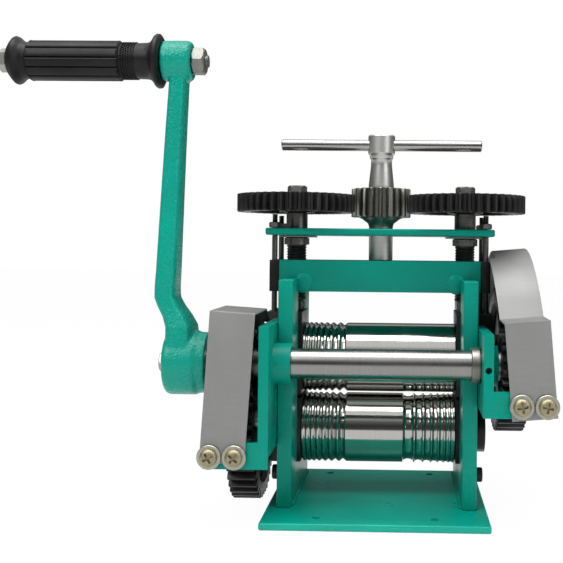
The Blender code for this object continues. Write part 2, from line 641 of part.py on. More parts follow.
def right_guard_outline(inset, over):
    """Side view of the right guard: pinion box in front, then a round hood over the upper gear."""
    low, high = RIGHT_GUARD_Z
    centre = (ROLL_AXIS_Y, UPPER_AXIS_Z + 5 * MM)
    hood = arc(centre, GUARD_HOOD_RADIUS - inset, 157, 0, 16)
    points = [(GUARD_FRONT_Y + inset, low - over), (GUARD_FRONT_Y + inset, high - inset)] + hood
    points += [(hood[-1][0], UPPER_AXIS_Z - 12 * MM - over), (hood[-1][0] - 50 * MM, UPPER_AXIS_Z - 12 * MM - over),
               (-40 * MM, low - over)]
    return points


def make_guard(side, sign, outline, bottom_z, tab_z):
    """An open-backed sheet box: front, top and outer side are closed, the mill's side is open."""
    outer = prism_mesh(outline(0, 0), *sorted((0, sign * GUARD_WIDTH)))
    place = (GUARD_BOTTOM_INNER_X[sign], 0, bottom_z)
    bmesh.ops.translate(outer, vec=(0, 0, -bottom_z), verts=outer.verts)
    guard = mesh_object("guard_" + side, outer, SHEET, place, 30)
    hollow = prism_mesh(outline(GUARD_SHEET, 5 * MM), *sorted((-sign * 5 * MM, sign * (GUARD_WIDTH - GUARD_SHEET))))
    bmesh.ops.translate(hollow, vec=(0, 0, -bottom_z), verts=hollow.verts)
    tool = hidden_tool("guard_hollow_" + side, hollow, place)
    for obj in (guard, tool):
        obj.rotation_euler = (0, GUARD_TILT[sign], 0)
    boolean(guard, tool)
    relief = block_mesh((-GUARD_RELIEF_X, GUARD_RELIEF_Y, -MM), (GUARD_RELIEF_X, CHEEK_BACK_Y + 20 * MM, LIFT_PLATE_Z))
    boolean(guard, hidden_tool("guard_relief_" + side, relief))
    for screw in guard_screw_places(sign, tab_z):
        drill(guard, f"guard_hole_{screw[0]:.4f}", GUARD_SCREW_RADIUS + GAP, -4 * MM, 3 * MM, screw, "Y", 16)
    return guard


def make_guards():
    left = make_guard("left", -1, left_guard_outline, LEFT_GUARD_Z[0], LEFT_TAB_Z)
    drill(left, "guard_shaft_hole", SHAFT_RADIUS + 3 * MM, -125 * MM, -95 * MM,
          (0, SHAFT_Y, SHAFT_AXIS_Z), "X", 32)
    make_guard("right", 1, right_guard_outline, RIGHT_GUARD_Z[0], RIGHT_TAB_Z)
    for side, sign, tab_z in (("left", -1, LEFT_TAB_Z), ("right", 1, RIGHT_TAB_Z)):
        for number, place in enumerate(guard_screw_places(sign, tab_z), 1):
            make_guard_screw(f"guard_screw_{side}_{number}", place)


def make_guard_screw(name, place):
    """Pan head screw with its plain washer, through the guard into the bracket's tab."""
    face = GUARD_FRONT_Y - GAP - BRACKET_FRONT_Y
    turned(name, [(face - 4.4 * MM, 2.4 * MM), (face - 3.8 * MM, 4.2 * MM), (face - 2.6 * MM, 4.9 * MM),
                  (face - 1.3 * MM, 4.9 * MM), (face - 1.3 * MM, 7.8 * MM), (face, 7.8 * MM),
                  (face, GUARD_SCREW_RADIUS), (TAB_THICK + 1.5 * MM, GUARD_SCREW_RADIUS)],
           ZINC, place, "Y", 14)


# ---- crank arm and grip ----

def make_crank_arm():
    """A cast lever: hub on the shaft, a joggled tapering arm and a boss for the grip bolt."""
    bm = bmesh.new()
    rings = []
    for height, middle, thick, width in ARM_SECTIONS:
        corner = 3.5
        ring = []
        for a, b in ((-1, -1), (1, -1), (1, 1), (-1, 1)):
            x = middle + a * thick / 2
            y = b * width / 2
            near = [(x, y - b * corner), (x - a * corner, y)]
            if a * b < 0:
                near.reverse()
            ring += [bm.verts.new((px * MM, SHAFT_Y + py * MM, SHAFT_AXIS_Z + height * MM)) for px, py in near]
        rings.append(ring)
    for low, high in zip(rings, rings[1:]):
        for step in range(8):
            after = (step + 1) % 8
            bm.faces.new((low[step], low[after], high[after], high[step]))
    bm.faces.new(rings[0])
    bm.faces.new(rings[-1])
    arm = mesh_object("crank_arm", bm, GREEN)
    hub = turned_mesh([(HUB_OUTER_X, HUB_RADIUS - 2 * MM), (HUB_OUTER_X + 2 * MM, HUB_RADIUS),
                       (-121.5 * MM, HUB_RADIUS), (-120.5 * MM, HUB_RADIUS - 1.2 * MM),
                       (HUB_INNER_X, HUB_RADIUS - 1.2 * MM)], 24, 0, "X")
    boolean(arm, hidden_tool("hub_tool", hub, (0, SHAFT_Y, SHAFT_AXIS_Z)), "UNION")
    boss = turned_mesh([(TOP_BOSS_X[0], TOP_BOSS_RADIUS), (TOP_BOSS_X[1] - 1.5 * MM, TOP_BOSS_RADIUS),
                        (TOP_BOSS_X[1], TOP_BOSS_RADIUS - 1.5 * MM)], 20, 0, "X")
    boolean(arm, hidden_tool("boss_tool", boss, (0, SHAFT_Y, GRIP_AXIS_Z)), "UNION")
    drill(arm, "hub_bore", SHAFT_RADIUS - 2 * MM + GAP, HUB_OUTER_X + 3 * MM - GAP, HUB_INNER_X + MM,
          (0, SHAFT_Y, SHAFT_AXIS_Z), "X", 20)
    drill(arm, "hub_bolt_hole", HUB_BOLT_RADIUS + GAP, HUB_OUTER_X - MM, HUB_OUTER_X + 5 * MM,
          (0, SHAFT_Y, SHAFT_AXIS_Z), "X", 16)
    drill(arm, "grip_bolt_hole", GRIP_BOLT_RADIUS + GAP, TOP_BOSS_X[0] - MM, TOP_BOSS_X[1] + MM,
          (0, SHAFT_Y, GRIP_AXIS_Z), "X", 20)


def hex_piece(name, across_flats, low, high, mat, place, axis, bore=0.0, turn=0.0):
    outline = [(math.cos(turn) * a - math.sin(turn) * b, math.sin(turn) * a + math.cos(turn) * b)
               for a, b in hexagon(across_flats)]
    obj = mesh_object(name, prism_mesh(outline, low, high, axis), mat, place, 25)
    if bore:
        drill(obj, name + "_bore", bore, low - MM, high + MM, place, axis, 20)
    return obj


def make_hub_bolt():
    """Bolt that holds the crank on the end of its shaft: hexagon head and a short visible shank."""
    face = HUB_OUTER_X - GAP
    bolt = hex_piece("hub_bolt", 12 * MM, face - 4.4 * MM, face, ZINC, (0, SHAFT_Y, SHAFT_AXIS_Z), "X",
                     turn=math.radians(30))
    shank = turned_mesh([(face - MM, HUB_BOLT_RADIUS), (HUB_OUTER_X + 3 * MM - GAP, HUB_BOLT_RADIUS)], 16, 0, "X")
    boolean(bolt, hidden_tool("hub_bolt_shank", shank, (0, SHAFT_Y, SHAFT_AXIS_Z)), "UNION")


def make_grip():
    """The grip turns freely on a bolt that is fixed through the crank's boss."""
    left = GRIP_RIGHT_X - GRIP_LENGTH
    length = GRIP_LENGTH
    radii = ((0, 12.5), (0.012, 15.2), (0.03, 15.9), (0.05, 15.2), (0.085, 12.9), (0.13, 12.2), (0.16, 12.6),
             (0.76, 12.9), (0.78, 12.2), (0.86, 12.2), (0.9, 13.0), (0.945, 15.8), (0.965, 17.9), (0.985, 18.0),
             (1.0, 16.5))
    profile = [(left + share * length, radius * MM) for share, radius in radii]
    turned("handle_grip", profile, GRIP, (0, SHAFT_Y, GRIP_AXIS_Z), "X", 20, GRIP_BOLT_RADIUS + GAP)
    end = left - GAP
    bolt = hex_piece("grip_bolt", 14 * MM, end - 6 * MM, end, ZINC, (0, SHAFT_Y, GRIP_AXIS_Z), "X")
    shank = turned_mesh([(end - MM, GRIP_BOLT_RADIUS), (TOP_BOSS_X[1] + 10.5 * MM, GRIP_BOLT_RADIUS)], 20, 0, "X")
    boolean(bolt, hidden_tool("grip_bolt_shank", shank, (0, SHAFT_Y, GRIP_AXIS_Z)), "UNION")
    hex_piece("grip_nut", 16.5 * MM, TOP_BOSS_X[1] + GAP, TOP_BOSS_X[1] + 8.6 * MM, ZINC,
              (0, SHAFT_Y, GRIP_AXIS_Z), "X", GRIP_BOLT_RADIUS + GAP, math.radians(30))


# ---- lifting plate, its rods and the adjusting screws ----

def make_lift_plate():
    half_depth = LIFT_PLATE_DEPTH / 2
    plate = block("lift_plate", (-LIFT_PLATE_LENGTH / 2, ROLL_AXIS_Y - half_depth, LIFT_PLATE_Z),
                  (LIFT_PLATE_LENGTH / 2, ROLL_AXIS_Y + half_depth, LIFT_PLATE_TOP_Z), GREEN)
    add_bevel(plate, 0.8 * MM, 1)
    drill(plate, "plate_spindle_hole", SPINDLE_HOLE_RADIUS, LIFT_PLATE_Z - MM, LIFT_PLATE_TOP_Z + MM,
          (0, ROLL_AXIS_Y, 0), "Z", 20)
    for side, sign in (("left", -1), ("right", 1)):
        drill(plate, "plate_screw_hole_" + side, SCREW_NECK_RADIUS + GAP, LIFT_PLATE_Z - MM,
              LIFT_PLATE_TOP_Z + MM, (sign * SCREW_X, ROLL_AXIS_Y, 0))
        keeper_z = LIFT_PLATE_Z - GAP - KEEPER_THICK
        ends = sorted((sign * (SCREW_X - 14 * MM), sign * (SCREW_X + 11.2 * MM)))
        keeper = block("keeper_" + side, (ends[0], ROLL_AXIS_Y - 13 * MM, keeper_z),
                       (ends[1], ROLL_AXIS_Y + 13 * MM, LIFT_PLATE_Z - GAP), STEEL)
        drill(keeper, "keeper_hole_" + side, SCREW_NECK_RADIUS + GAP, keeper_z - MM, LIFT_PLATE_Z + MM,
              (sign * SCREW_X, ROLL_AXIS_Y, 0))
        for end, y in (("front", ROD_FRONT_Y), ("back", ROD_BACK_Y)):
            place = (sign * ROD_X, y, 0)
            drill(plate, f"plate_rod_hole_{side}_{end}", ROD_RADIUS + GAP, LIFT_PLATE_Z - MM,
                  LIFT_PLATE_TOP_Z + MM, place, "Z", 16)
            rod(f"lift_rod_{side}_{end}", ROD_RADIUS, ROD_BOTTOM_Z, ROD_TOP_Z, DARK, place, "Z", 16)
            hex_piece(f"rod_nut_{side}_{end}", 7.5 * MM, LIFT_PLATE_TOP_Z + GAP, LIFT_PLATE_TOP_Z + 4.3 * MM,
                      STEEL, place, "Z", ROD_RADIUS + GAP)


def make_screws():
    top = TOP_GEAR_Z + TOP_GEAR_FACE
    keeper_bottom = LIFT_PLATE_Z - GAP - KEEPER_THICK
    nose = UPPER_BLOCK_TOP_Z + GAP
    profile = [(nose, SCREW_NOSE_RADIUS), (SCREW_BOTTOM_Z, SCREW_NOSE_RADIUS),
               (SCREW_BOTTOM_Z, SCREW_RADIUS - MM), (SCREW_BOTTOM_Z + MM, SCREW_RADIUS),
               (COLLAR_BOTTOM_Z, SCREW_RADIUS), (COLLAR_BOTTOM_Z, COLLAR_RADIUS),
               (keeper_bottom - GAP, COLLAR_RADIUS), (keeper_bottom - GAP, SCREW_NECK_RADIUS),
               (TOP_GEAR_Z - GAP, SCREW_NECK_RADIUS), (TOP_GEAR_Z - GAP, TOP_GEAR_SEAT_RADIUS),
               (top - MM, TOP_GEAR_SEAT_RADIUS)]
    pinion_phase = math.radians(90)
    for side, sign, line in (("left", -1, math.pi), ("right", 1, 0.0)):
        place = (sign * SCREW_X, ROLL_AXIS_Y, 0)
        turned("screw_" + side, profile, DARK, place, "Z", 16)
        phase = mate_phase(pinion_phase, TOP_PINION_TEETH, line, TOP_GEAR_TEETH)
        gear("screw_gear_" + side, tooth_outline(TOP_GEAR_TEETH, TOP_MODULE, phase), TOP_GEAR_Z, top,
             TOP_GEAR_SEAT_RADIUS + GAP, BLACK, place, "Z", TOP_GEAR_RECESS)
        bolt = hex_piece("screw_bolt_" + side, 12.6 * MM, top + GAP, top + 6.8 * MM, STEEL, place, "Z")
        add_bevel(bolt, 0.5 * MM, 1)
    gear("handle_pinion", tooth_outline(TOP_PINION_TEETH, TOP_MODULE, pinion_phase), TOP_PINION_Z,
         TOP_PINION_Z + TOP_PINION_FACE, SPINDLE_RADIUS + 2 * GAP, STEEL, (0, ROLL_AXIS_Y, 0), "Z")


def make_t_handle():
    """A turned spindle that stands in the crossbar, with a cross bar through its head."""
    pinion_top = TOP_PINION_Z + TOP_PINION_FACE
    profile = [(PIVOT_BOTTOM_Z, PIVOT_RADIUS), (BAR_TOP_Z + GAP, PIVOT_RADIUS), (BAR_TOP_Z + GAP, SPINDLE_RADIUS),
               (TOP_PINION_Z - 4.7 * MM, SPINDLE_RADIUS), (TOP_PINION_Z - GAP, 16 * MM),
               (TOP_PINION_Z - GAP, SPINDLE_RADIUS + GAP), (pinion_top + 0.5 * MM, SPINDLE_RADIUS + GAP),
               (TBAR_Z - 11 * MM, 7.7 * MM), (TBAR_Z - 9 * MM, 8.6 * MM), (TBAR_Z - 7 * MM, HEAD_RADIUS),
               (TBAR_Z + 6.8 * MM, HEAD_RADIUS), (TBAR_Z + 7.6 * MM, HEAD_RADIUS - 0.8 * MM)]
    spindle = turned("handle_spindle", profile, STEEL, (0, ROLL_AXIS_Y, 0), "Z", 18)
    drill(spindle, "bar_hole", TBAR_RADIUS + GAP, -20 * MM, 20 * MM, (0, ROLL_AXIS_Y, TBAR_Z), "X", 24)
    half = TBAR_LENGTH / 2
    turned("handle_bar", [(-half, TBAR_RADIUS - 0.6 * MM), (-half + 0.6 * MM, TBAR_RADIUS),
                          (half - 0.6 * MM, TBAR_RADIUS), (half, TBAR_RADIUS - 0.6 * MM)],
           POLISHED, (0, ROLL_AXIS_Y, TBAR_Z), "X", 20)


def make_retainers():
    """Round nuts that hold each roll's gear on its journal."""
    for name, sign, axis_z in (("lower_gear_nut", -1, LOWER_AXIS_Z), ("upper_gear_nut", 1, UPPER_AXIS_Z)):
        ends = sorted((sign * (GEAR_OUTER_X + GAP), sign * (GEAR_OUTER_X + 3.2 * MM)))
        rod(name, RETAINER_RADIUS, *ends, DARK, (0, ROLL_AXIS_Y, axis_z), "X", 24, GEAR_SEAT_RADIUS + GAP)


make_base_plate()
make_cheeks()
make_crossbar()
make_rod_guides()
make_foot_bolts()
make_bearing_blocks()
make_rolls()
make_drive_gears()
make_crank_shaft()
make_brackets()
make_idler_pin()
make_guards()
make_crank_arm()
make_hub_bolt()
make_grip()
make_lift_plate()
make_screws()
make_t_handle()
make_retainers()
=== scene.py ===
"""Hand rolling mill: the visible surfaces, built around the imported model. Metres, +Z up."""
import math

import bmesh
import bpy
from mathutils import Matrix, Vector


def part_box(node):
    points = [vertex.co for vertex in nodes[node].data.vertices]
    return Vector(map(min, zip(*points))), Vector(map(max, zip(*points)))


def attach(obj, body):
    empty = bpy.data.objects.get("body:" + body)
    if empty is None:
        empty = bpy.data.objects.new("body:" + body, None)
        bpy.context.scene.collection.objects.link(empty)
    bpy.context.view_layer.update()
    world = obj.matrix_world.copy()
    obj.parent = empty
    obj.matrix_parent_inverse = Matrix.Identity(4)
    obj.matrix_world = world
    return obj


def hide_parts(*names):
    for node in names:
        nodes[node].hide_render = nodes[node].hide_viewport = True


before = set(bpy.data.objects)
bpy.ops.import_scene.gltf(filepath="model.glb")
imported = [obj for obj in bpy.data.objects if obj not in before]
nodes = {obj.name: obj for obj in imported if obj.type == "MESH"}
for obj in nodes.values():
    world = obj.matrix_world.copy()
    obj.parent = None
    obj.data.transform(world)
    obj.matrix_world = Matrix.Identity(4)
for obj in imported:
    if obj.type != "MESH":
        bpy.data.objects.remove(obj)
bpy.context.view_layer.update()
MM = 0.001
SIDES = ("left", "right")

# ---- green plates: base, side cheeks and top bar ----
# Flame-cut steel plate, ground at the edges, welded up and sprayed with glossy green paint.
# The paint keeps a fine orange peel, and the cheek slots are left as bare machined steel.


def centre(node):
    low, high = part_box(node)
    return (low + high) / 2


def node_group(name, kind, inputs, outputs):
    """An empty node group with named sockets, with its node maker, linker, input and output."""
    group = bpy.data.node_groups.new(name, kind)
    for direction, sockets in (("INPUT", inputs), ("OUTPUT", outputs)):
        for label, socket in sockets.items():
            group.interface.new_socket(label, in_out=direction, socket_type="NodeSocket" + socket)
    new = group.nodes.new
    return group, new, group.links.new, new("NodeGroupInput"), new("NodeGroupOutput")


def grain_group():
    """Paint or casting texture: a bump height and a slow blotch mask."""
    group, new, link, source, out = node_group(
        "surface_grain", "ShaderNodeTree",
        {"Vector": "Vector", "Grain Scale": "Float", "Blotch Scale": "Float", "Pebble": "Float"},
        {"Height": "Float", "Blotch": "Float"})
    fine, blotch, pebble = new("ShaderNodeTexNoise"), new("ShaderNodeTexNoise"), new("ShaderNodeTexVoronoi")
    fine.inputs["Detail"].default_value = 3
    blotch.inputs["Detail"].default_value = 4
    pebble.feature = "SMOOTH_F1"
    pebble.inputs["Smoothness"].default_value = 0.6
    mix = new("ShaderNodeMix")
    for texture in (fine, blotch, pebble):
        link(source.outputs["Vector"], texture.inputs["Vector"])
    link(source.outputs["Grain Scale"], fine.inputs["Scale"])
    link(source.outputs["Grain Scale"], pebble.inputs["Scale"])
    link(source.outputs["Blotch Scale"], blotch.inputs["Scale"])
    link(source.outputs["Pebble"], mix.inputs["Factor"])
    link(fine.outputs["Fac"], mix.inputs["A"])
    link(pebble.outputs["Distance"], mix.inputs["B"])
    link(mix.outputs["Result"], out.inputs["Height"])
    link(blotch.outputs["Fac"], out.inputs["Blotch"])
    return group


GRAIN = grain_group()


def shader(name, roughness, metallic, gloss=0.5):
    """A material with its Principled BSDF, node maker and linker."""
    mat = bpy.data.materials.new(name)
    mat.use_nodes = True
    new, link = mat.node_tree.nodes.new, mat.node_tree.links.new
    bsdf = mat.node_tree.nodes["Principled BSDF"]
    bsdf.inputs["Roughness"].default_value = roughness
    bsdf.inputs["Metallic"].default_value = metallic
    bsdf.inputs["Specular IOR Level"].default_value = gloss
    return mat, new, link, bsdf


def ramp(new, link, source, stops):
    node = new("ShaderNodeValToRGB")
    elements = node.color_ramp.elements
    while len(elements) < len(stops):
        elements.new(0.5)
    for element, (place, colour) in zip(elements, stops):
        element.position = place
        element.color = (*colour, 1)
    link(source, node.inputs["Fac"])
    return node.outputs["Color"]


def two_tone(new, link, source, low, high):
    """Blends two colours over the middle of a mask's range."""
    return ramp(new, link, source, ((0.3, low), (0.7, high)))


def grey(value):
    return (value, value, value)


def textured(new, link, bsdf, group, height, values):
    """Places a shared texture group in object space and bumps the surface with its height."""
    place, node, bump = new("ShaderNodeTexCoord"), new("ShaderNodeGroup"), new("ShaderNodeBump")
    node.node_tree = group
    for label, value in values.items():
        node.inputs[label].default_value = value
    bump.inputs["Distance"].default_value = height
    link(place.outputs["Object"], node.inputs["Vector"])
    link(node.outputs["Height"], bump.inputs["Height"])
    link(bump.outputs["Normal"], bsdf.inputs["Normal"])
    return node


def grain(new, link, bsdf, scale, blotch, pebble, height):
    """Bumps the surface with the grain group and returns its blotch mask."""
    values = {"Grain Scale": scale, "Blotch Scale": blotch, "Pebble": pebble}
    return textured(new, link, bsdf, GRAIN, height, values).outputs["Blotch"]


# painted_light scales the green for how much light falls on a part: below 1 it darkens the green as painted shade,
# above 1 it lightens it as painted light. The default of 0.8 is painted shade.
def green_paint(name, scale, pebble, height, roughness=0.32, gloss=0.12, painted_light=0.8):
    mat, new, link, bsdf = shader(name, roughness, 0.0, gloss)
    blotch = grain(new, link, bsdf, scale, 22.0, pebble, height)
    colour = two_tone(new, link, blotch, (0.0, 0.225 * painted_light, 0.168 * painted_light), (0.0, 0.27 * painted_light, 0.2 * painted_light))
    link(colour, bsdf.inputs["Base Color"])
    link(two_tone(new, link, blotch, grey(roughness + 0.08), grey(roughness - 0.04)), bsdf.inputs["Roughness"])
    return mat


# The top bar and the lift plate take the green darkened by the default 0.8, as painted shade.
SHADED_PLATE_PAINT = green_paint("plate_paint_painted_shade", 1000.0, 0.3, 0.00012)


def maths(new, link, operation, *values, clamp=False):
    """One Math node; each value is a number or a socket."""
    node = new("ShaderNodeMath")
    node.operation = operation
    node.use_clamp = clamp
    for socket, value in zip(node.inputs, values):
        if isinstance(value, (int, float)):
            socket.default_value = value
        else:
            link(value, socket)
    return node.outputs[0]


def cheek_paint(slot_y, slot_half, slot_floor):
    """Plate paint with bare machined steel on the walls and floor of the bearing slot."""
    mat, new, link, bsdf = shader("cheek_paint", 0.32, 0.0, 0.12)
    blotch = grain(new, link, bsdf, 850.0, 22.0, 0.6, 0.0002)
    place, split, colour = new("ShaderNodeTexCoord"), new("ShaderNodeSeparateXYZ"), new("ShaderNodeMix")
    link(place.outputs["Object"], split.inputs["Vector"])
    off_middle = maths(new, link, "ABSOLUTE", maths(new, link, "SUBTRACT", split.outputs["Y"], slot_y))
    inside = maths(new, link, "LESS_THAN", off_middle, slot_half + 0.35 * MM)
    above = maths(new, link, "GREATER_THAN", split.outputs["Z"], slot_floor - 0.3 * MM)
    bare = maths(new, link, "MULTIPLY", inside, above)
    colour.data_type = "RGBA"
    link(bare, colour.inputs["Factor"])
    link(two_tone(new, link, blotch, (0.0, 0.2, 0.15), (0.002, 0.245, 0.182)), colour.inputs[6])
    link(two_tone(new, link, blotch, (0.42, 0.41, 0.38), (0.56, 0.55, 0.52)), colour.inputs[7])
    link(colour.outputs[2], bsdf.inputs["Base Color"])
    link(bare, bsdf.inputs["Metallic"])
    return mat


def shown(name, bm, mat, sharp=32):
    """Links a finished mesh as an object at the origin, smooth except at its sharp edges."""
    bmesh.ops.remove_doubles(bm, verts=bm.verts, dist=1e-6)
    bmesh.ops.recalc_face_normals(bm, faces=bm.faces)
    mesh = bpy.data.meshes.new(name)
    bm.to_mesh(mesh)
    bm.free()
    mesh.materials.append(mat)
    mesh.shade_smooth()
    mesh.set_sharp_from_angle(angle=math.radians(sharp))
    obj = bpy.data.objects.new(name, mesh)
    bpy.context.scene.collection.objects.link(obj)
    return obj


def place_on(obj, body, slot, *stands_for):
    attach(obj, body)
    if stands_for:
        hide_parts(*stands_for)
    return obj


def applied(obj, sharp=32):
    """Bakes a piece's modifiers into its mesh."""
    bpy.context.view_layer.update()
    graph = bpy.context.evaluated_depsgraph_get()
    mesh = bpy.data.meshes.new_from_object(obj.evaluated_get(graph))
    obj.modifiers.clear()
    obj.data = mesh
    mesh.shade_smooth()
    mesh.set_sharp_from_angle(angle=math.radians(sharp))
    return obj


def eased(obj, width, segments):
    """Rounds the sharp edges of a piece and bakes the rounding into its mesh."""
    bevel = obj.modifiers.new("ease", "BEVEL")
    bevel.width = width
    bevel.segments = segments
    bevel.limit_method = "ANGLE"
    bevel.angle_limit = math.radians(35)
    return applied(obj)


def from_node(node, name, mat, width, segments=2):
    """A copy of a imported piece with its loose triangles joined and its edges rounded."""
    bm = bmesh.new()
    bm.from_mesh(nodes[node].data)
    bmesh.ops.remove_doubles(bm, verts=bm.verts, dist=2e-5)
    bmesh.ops.dissolve_limit(bm, angle_limit=math.radians(1.0), verts=bm.verts, edges=bm.edges)
    return eased(shown(name, bm, mat), width, segments)


def pair(kind, name, mat, width, body, slot, segments=2):
    """The left and the right piece of one kind."""
    for side in SIDES:
        node = f"{kind}_{side}"
        place_on(from_node(node, f"{name}_{side}", mat, width, segments), body, slot, node)


def box_mesh(low, high):
    bm = bmesh.new()
    bmesh.ops.create_cube(bm, size=1)
    bmesh.ops.scale(bm, vec=[h - l for l, h in zip(low, high)], verts=bm.verts)
    bmesh.ops.translate(bm, vec=[(h + l) / 2 for l, h in zip(low, high)], verts=bm.verts)
    return bm


base_low, base_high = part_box("base_plate")
BASE_HOLES = [(x * 39 * MM, y * 61 * MM) for x in (-1, 1) for y in (-1, 1)]
BASE_HOLE_R = 2.8 * MM
SPIN = {"X": Matrix.Rotation(math.pi / 2, 4, "Y"), "Y": Matrix.Rotation(-math.pi / 2, 4, "X"),
        "Z": Matrix.Identity(4)}


def round_cutter(name, radius, low, high, at, axis="Z"):
    bm = bmesh.new()
    bmesh.ops.create_cone(bm, cap_ends=True, segments=48, radius1=radius, radius2=radius, depth=high - low)
    lift = Matrix.Translation((0, 0, (low + high) / 2))
    bmesh.ops.transform(bm, matrix=Matrix.Translation(at) @ SPIN[axis] @ lift, verts=bm.verts)
    return shown(name, bm, SHADED_PLATE_PAINT)


def combine(obj, tools, operation="DIFFERENCE"):
    for tool in tools:
        change = obj.modifiers.new("combine", "BOOLEAN")
        change.operation = operation
        change.object = tool
        change.solver = "EXACT"
    applied(obj)
    for tool in tools:
        bpy.data.objects.remove(tool)
    return obj


# The base takes a lighter copy of the same green, as painted light falling on its top.
TOP_LIT_BASE_PAINT = green_paint("base_paint", 1000.0, 0.3, 0.00012, 0.3, 0.3, 1.25)
base = eased(shown("base_painted", box_mesh(base_low, base_high), TOP_LIT_BASE_PAINT), 1.4 * MM, 4)
combine(base, [round_cutter("hole", BASE_HOLE_R, -MM, 8 * MM, (x, y, 0)) for x, y in BASE_HOLES])
place_on(base, "frame", "green_paint", "base_plate")

slot_y = centre("lower_block_left").y
SLOT_HALF, SLOT_FLOOR = 22 * MM, 28.5 * MM
CHEEK_PAINT = cheek_paint(slot_y, SLOT_HALF, SLOT_FLOOR)
pair("cheek", "cheek_shell", CHEEK_PAINT, 0.6 * MM, "frame", "green_paint")

bar = from_node("crossbar", "top_bar", SHADED_PLATE_PAINT, 0.8 * MM, 3)
place_on(bar, "frame", "green_paint", "crossbar")

# ---- weld beads ----
# A rounded lump of weld holds each end of the top bar, and a run of beads holds each foot of a cheek.
# A run is a row of overlapping flat drops under the same paint as the plates.
# The welds take the green darkened by the default 0.8, as painted shade.
bead_mat = green_paint("weld_paint", 900.0, 0.5, 0.00012)


def repeat_tree(name):
    """Puts one shape on every point of a mesh, turned by the point and given one finish."""
    tree, new, link, source, out = node_group(
        name, "GeometryNodeTree", {"Geometry": "Geometry", "Shape": "Object", "Finish": "Material"},
        {"Geometry": "Geometry"})
    points, info = new("GeometryNodeMeshToPoints"), new("GeometryNodeObjectInfo")
    turn = new("GeometryNodeInputNamedAttribute")
    turn.data_type = "FLOAT_VECTOR"
    turn.inputs["Name"].default_value = "turn"
    angle, place = new("FunctionNodeEulerToRotation"), new("GeometryNodeInstanceOnPoints")
    real, finish = new("GeometryNodeRealizeInstances"), new("GeometryNodeSetMaterial")
    for start, end in (
            (source.outputs["Geometry"], points.inputs["Mesh"]),
            (source.outputs["Shape"], info.inputs["Object"]),
            (points.outputs["Points"], place.inputs["Points"]),
            (info.outputs["Geometry"], place.inputs["Instance"]),
            (turn.outputs["Attribute"], angle.inputs["Euler"]),
            (angle.outputs["Rotation"], place.inputs["Rotation"]),
            (place.outputs["Instances"], real.inputs["Geometry"]),
            (real.outputs["Geometry"], finish.inputs["Geometry"]),
            (source.outputs["Finish"], finish.inputs["Material"]),
            (finish.outputs["Geometry"], out.inputs["Geometry"])):
        link(start, end)
    return tree


REPEAT = repeat_tree("repeat_on_points")


def repeated(name, shape, spots, mat):
    """Copies a shape to each (point, turn) spot through the repeat tree, as one plain mesh."""
    mesh = bpy.data.meshes.new(name)
    mesh.from_pydata([spot for spot, _ in spots], [], [])
    turns = mesh.attributes.new("turn", "FLOAT_VECTOR", "POINT")
    for item, (_, turn) in zip(turns.data, spots):
        item.vector = turn
    obj = bpy.data.objects.new(name, mesh)
    bpy.context.scene.collection.objects.link(obj)
    change = obj.modifiers.new("repeat", "NODES")
    change.node_group = REPEAT
    values = {"Shape": shape, "Finish": mat}
    for item in REPEAT.interface.items_tree:
        if item.in_out == "INPUT" and item.name in values:
            change[item.identifier] = values[item.name]
    applied(obj)
    bpy.data.objects.remove(shape)
    return obj


def bead_drop():
    bm = bmesh.new()
    bmesh.ops.create_uvsphere(bm, u_segments=16, v_segments=10, radius=1)
    bmesh.ops.scale(bm, vec=(0.88 * MM, 1.6 * MM, 1.5 * MM), verts=bm.verts)
    return shown("bead_drop", bm, bead_mat)


def run_of_beads(name, start, end):
    count = int((end - start).length / BEAD_STEP)
    spots = [(start.lerp(end, k / (count - 1)), (0, 0, math.pi / 2)) for k in range(count)]
    place_on(repeated(name, bead_drop(), spots, bead_mat), "frame", "green_paint")


BEAD_STEP = 1.5 * MM
bar_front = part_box("crossbar")[0].y
cheek_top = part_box("cheek_left")[1].z
for side, sign in (("left", -1), ("right", 1)):
    low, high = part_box("cheek_" + side)
    inner = high.x if sign < 0 else low.x
    lump = bmesh.new()
    bmesh.ops.create_uvsphere(lump, u_segments=40, v_segments=24, radius=1)
    bmesh.ops.scale(lump, vec=(6.6 * MM, 1.7 * MM, 7.2 * MM), verts=lump.verts)
    bmesh.ops.translate(lump, vec=(inner - sign * 3.4 * MM, bar_front + 0.3 * MM, cheek_top - 3.4 * MM),
                        verts=lump.verts)
    place_on(shown("bar_weld_" + side, lump, bead_mat, 60), "frame", "green_paint")
    foot_z = base_high.z + 0.2 * MM
    for edge, label in ((low.x, "a"), (high.x, "b")):
        run_of_beads(f"foot_weld_{side}_{label}", Vector((edge, low.y + 5 * MM, foot_z)),
                     Vector((edge, high.y - 5 * MM, foot_z)))

# ---- lower and upper rolls ----
# Hardened steel rolls, ground and polished all over. Both have square-wire grooves on the left;
# the lower one also has half-round grooves on the right. Their journals run in the bearing blocks.


def brush_group():
    """Fine tool lines across one direction, with a slow change of tone."""
    group, new, link, source, out = node_group(
        "tool_lines", "ShaderNodeTree", {"Vector": "Vector", "Stretch": "Vector"},
        {"Height": "Float", "Tone": "Float"})
    scale = new("ShaderNodeVectorMath")
    scale.operation = "MULTIPLY"
    link(source.outputs["Vector"], scale.inputs[0])
    link(source.outputs["Stretch"], scale.inputs[1])
    lines, tone = new("ShaderNodeTexNoise"), new("ShaderNodeTexNoise")
    lines.inputs["Scale"].default_value = 1.0
    lines.inputs["Detail"].default_value = 4
    tone.inputs["Scale"].default_value = 35.0
    link(scale.outputs[0], lines.inputs["Vector"])
    link(source.outputs["Vector"], tone.inputs["Vector"])
    link(lines.outputs["Fac"], out.inputs["Height"])
    link(tone.outputs["Fac"], out.inputs["Tone"])
    return group


TOOL_LINES = brush_group()


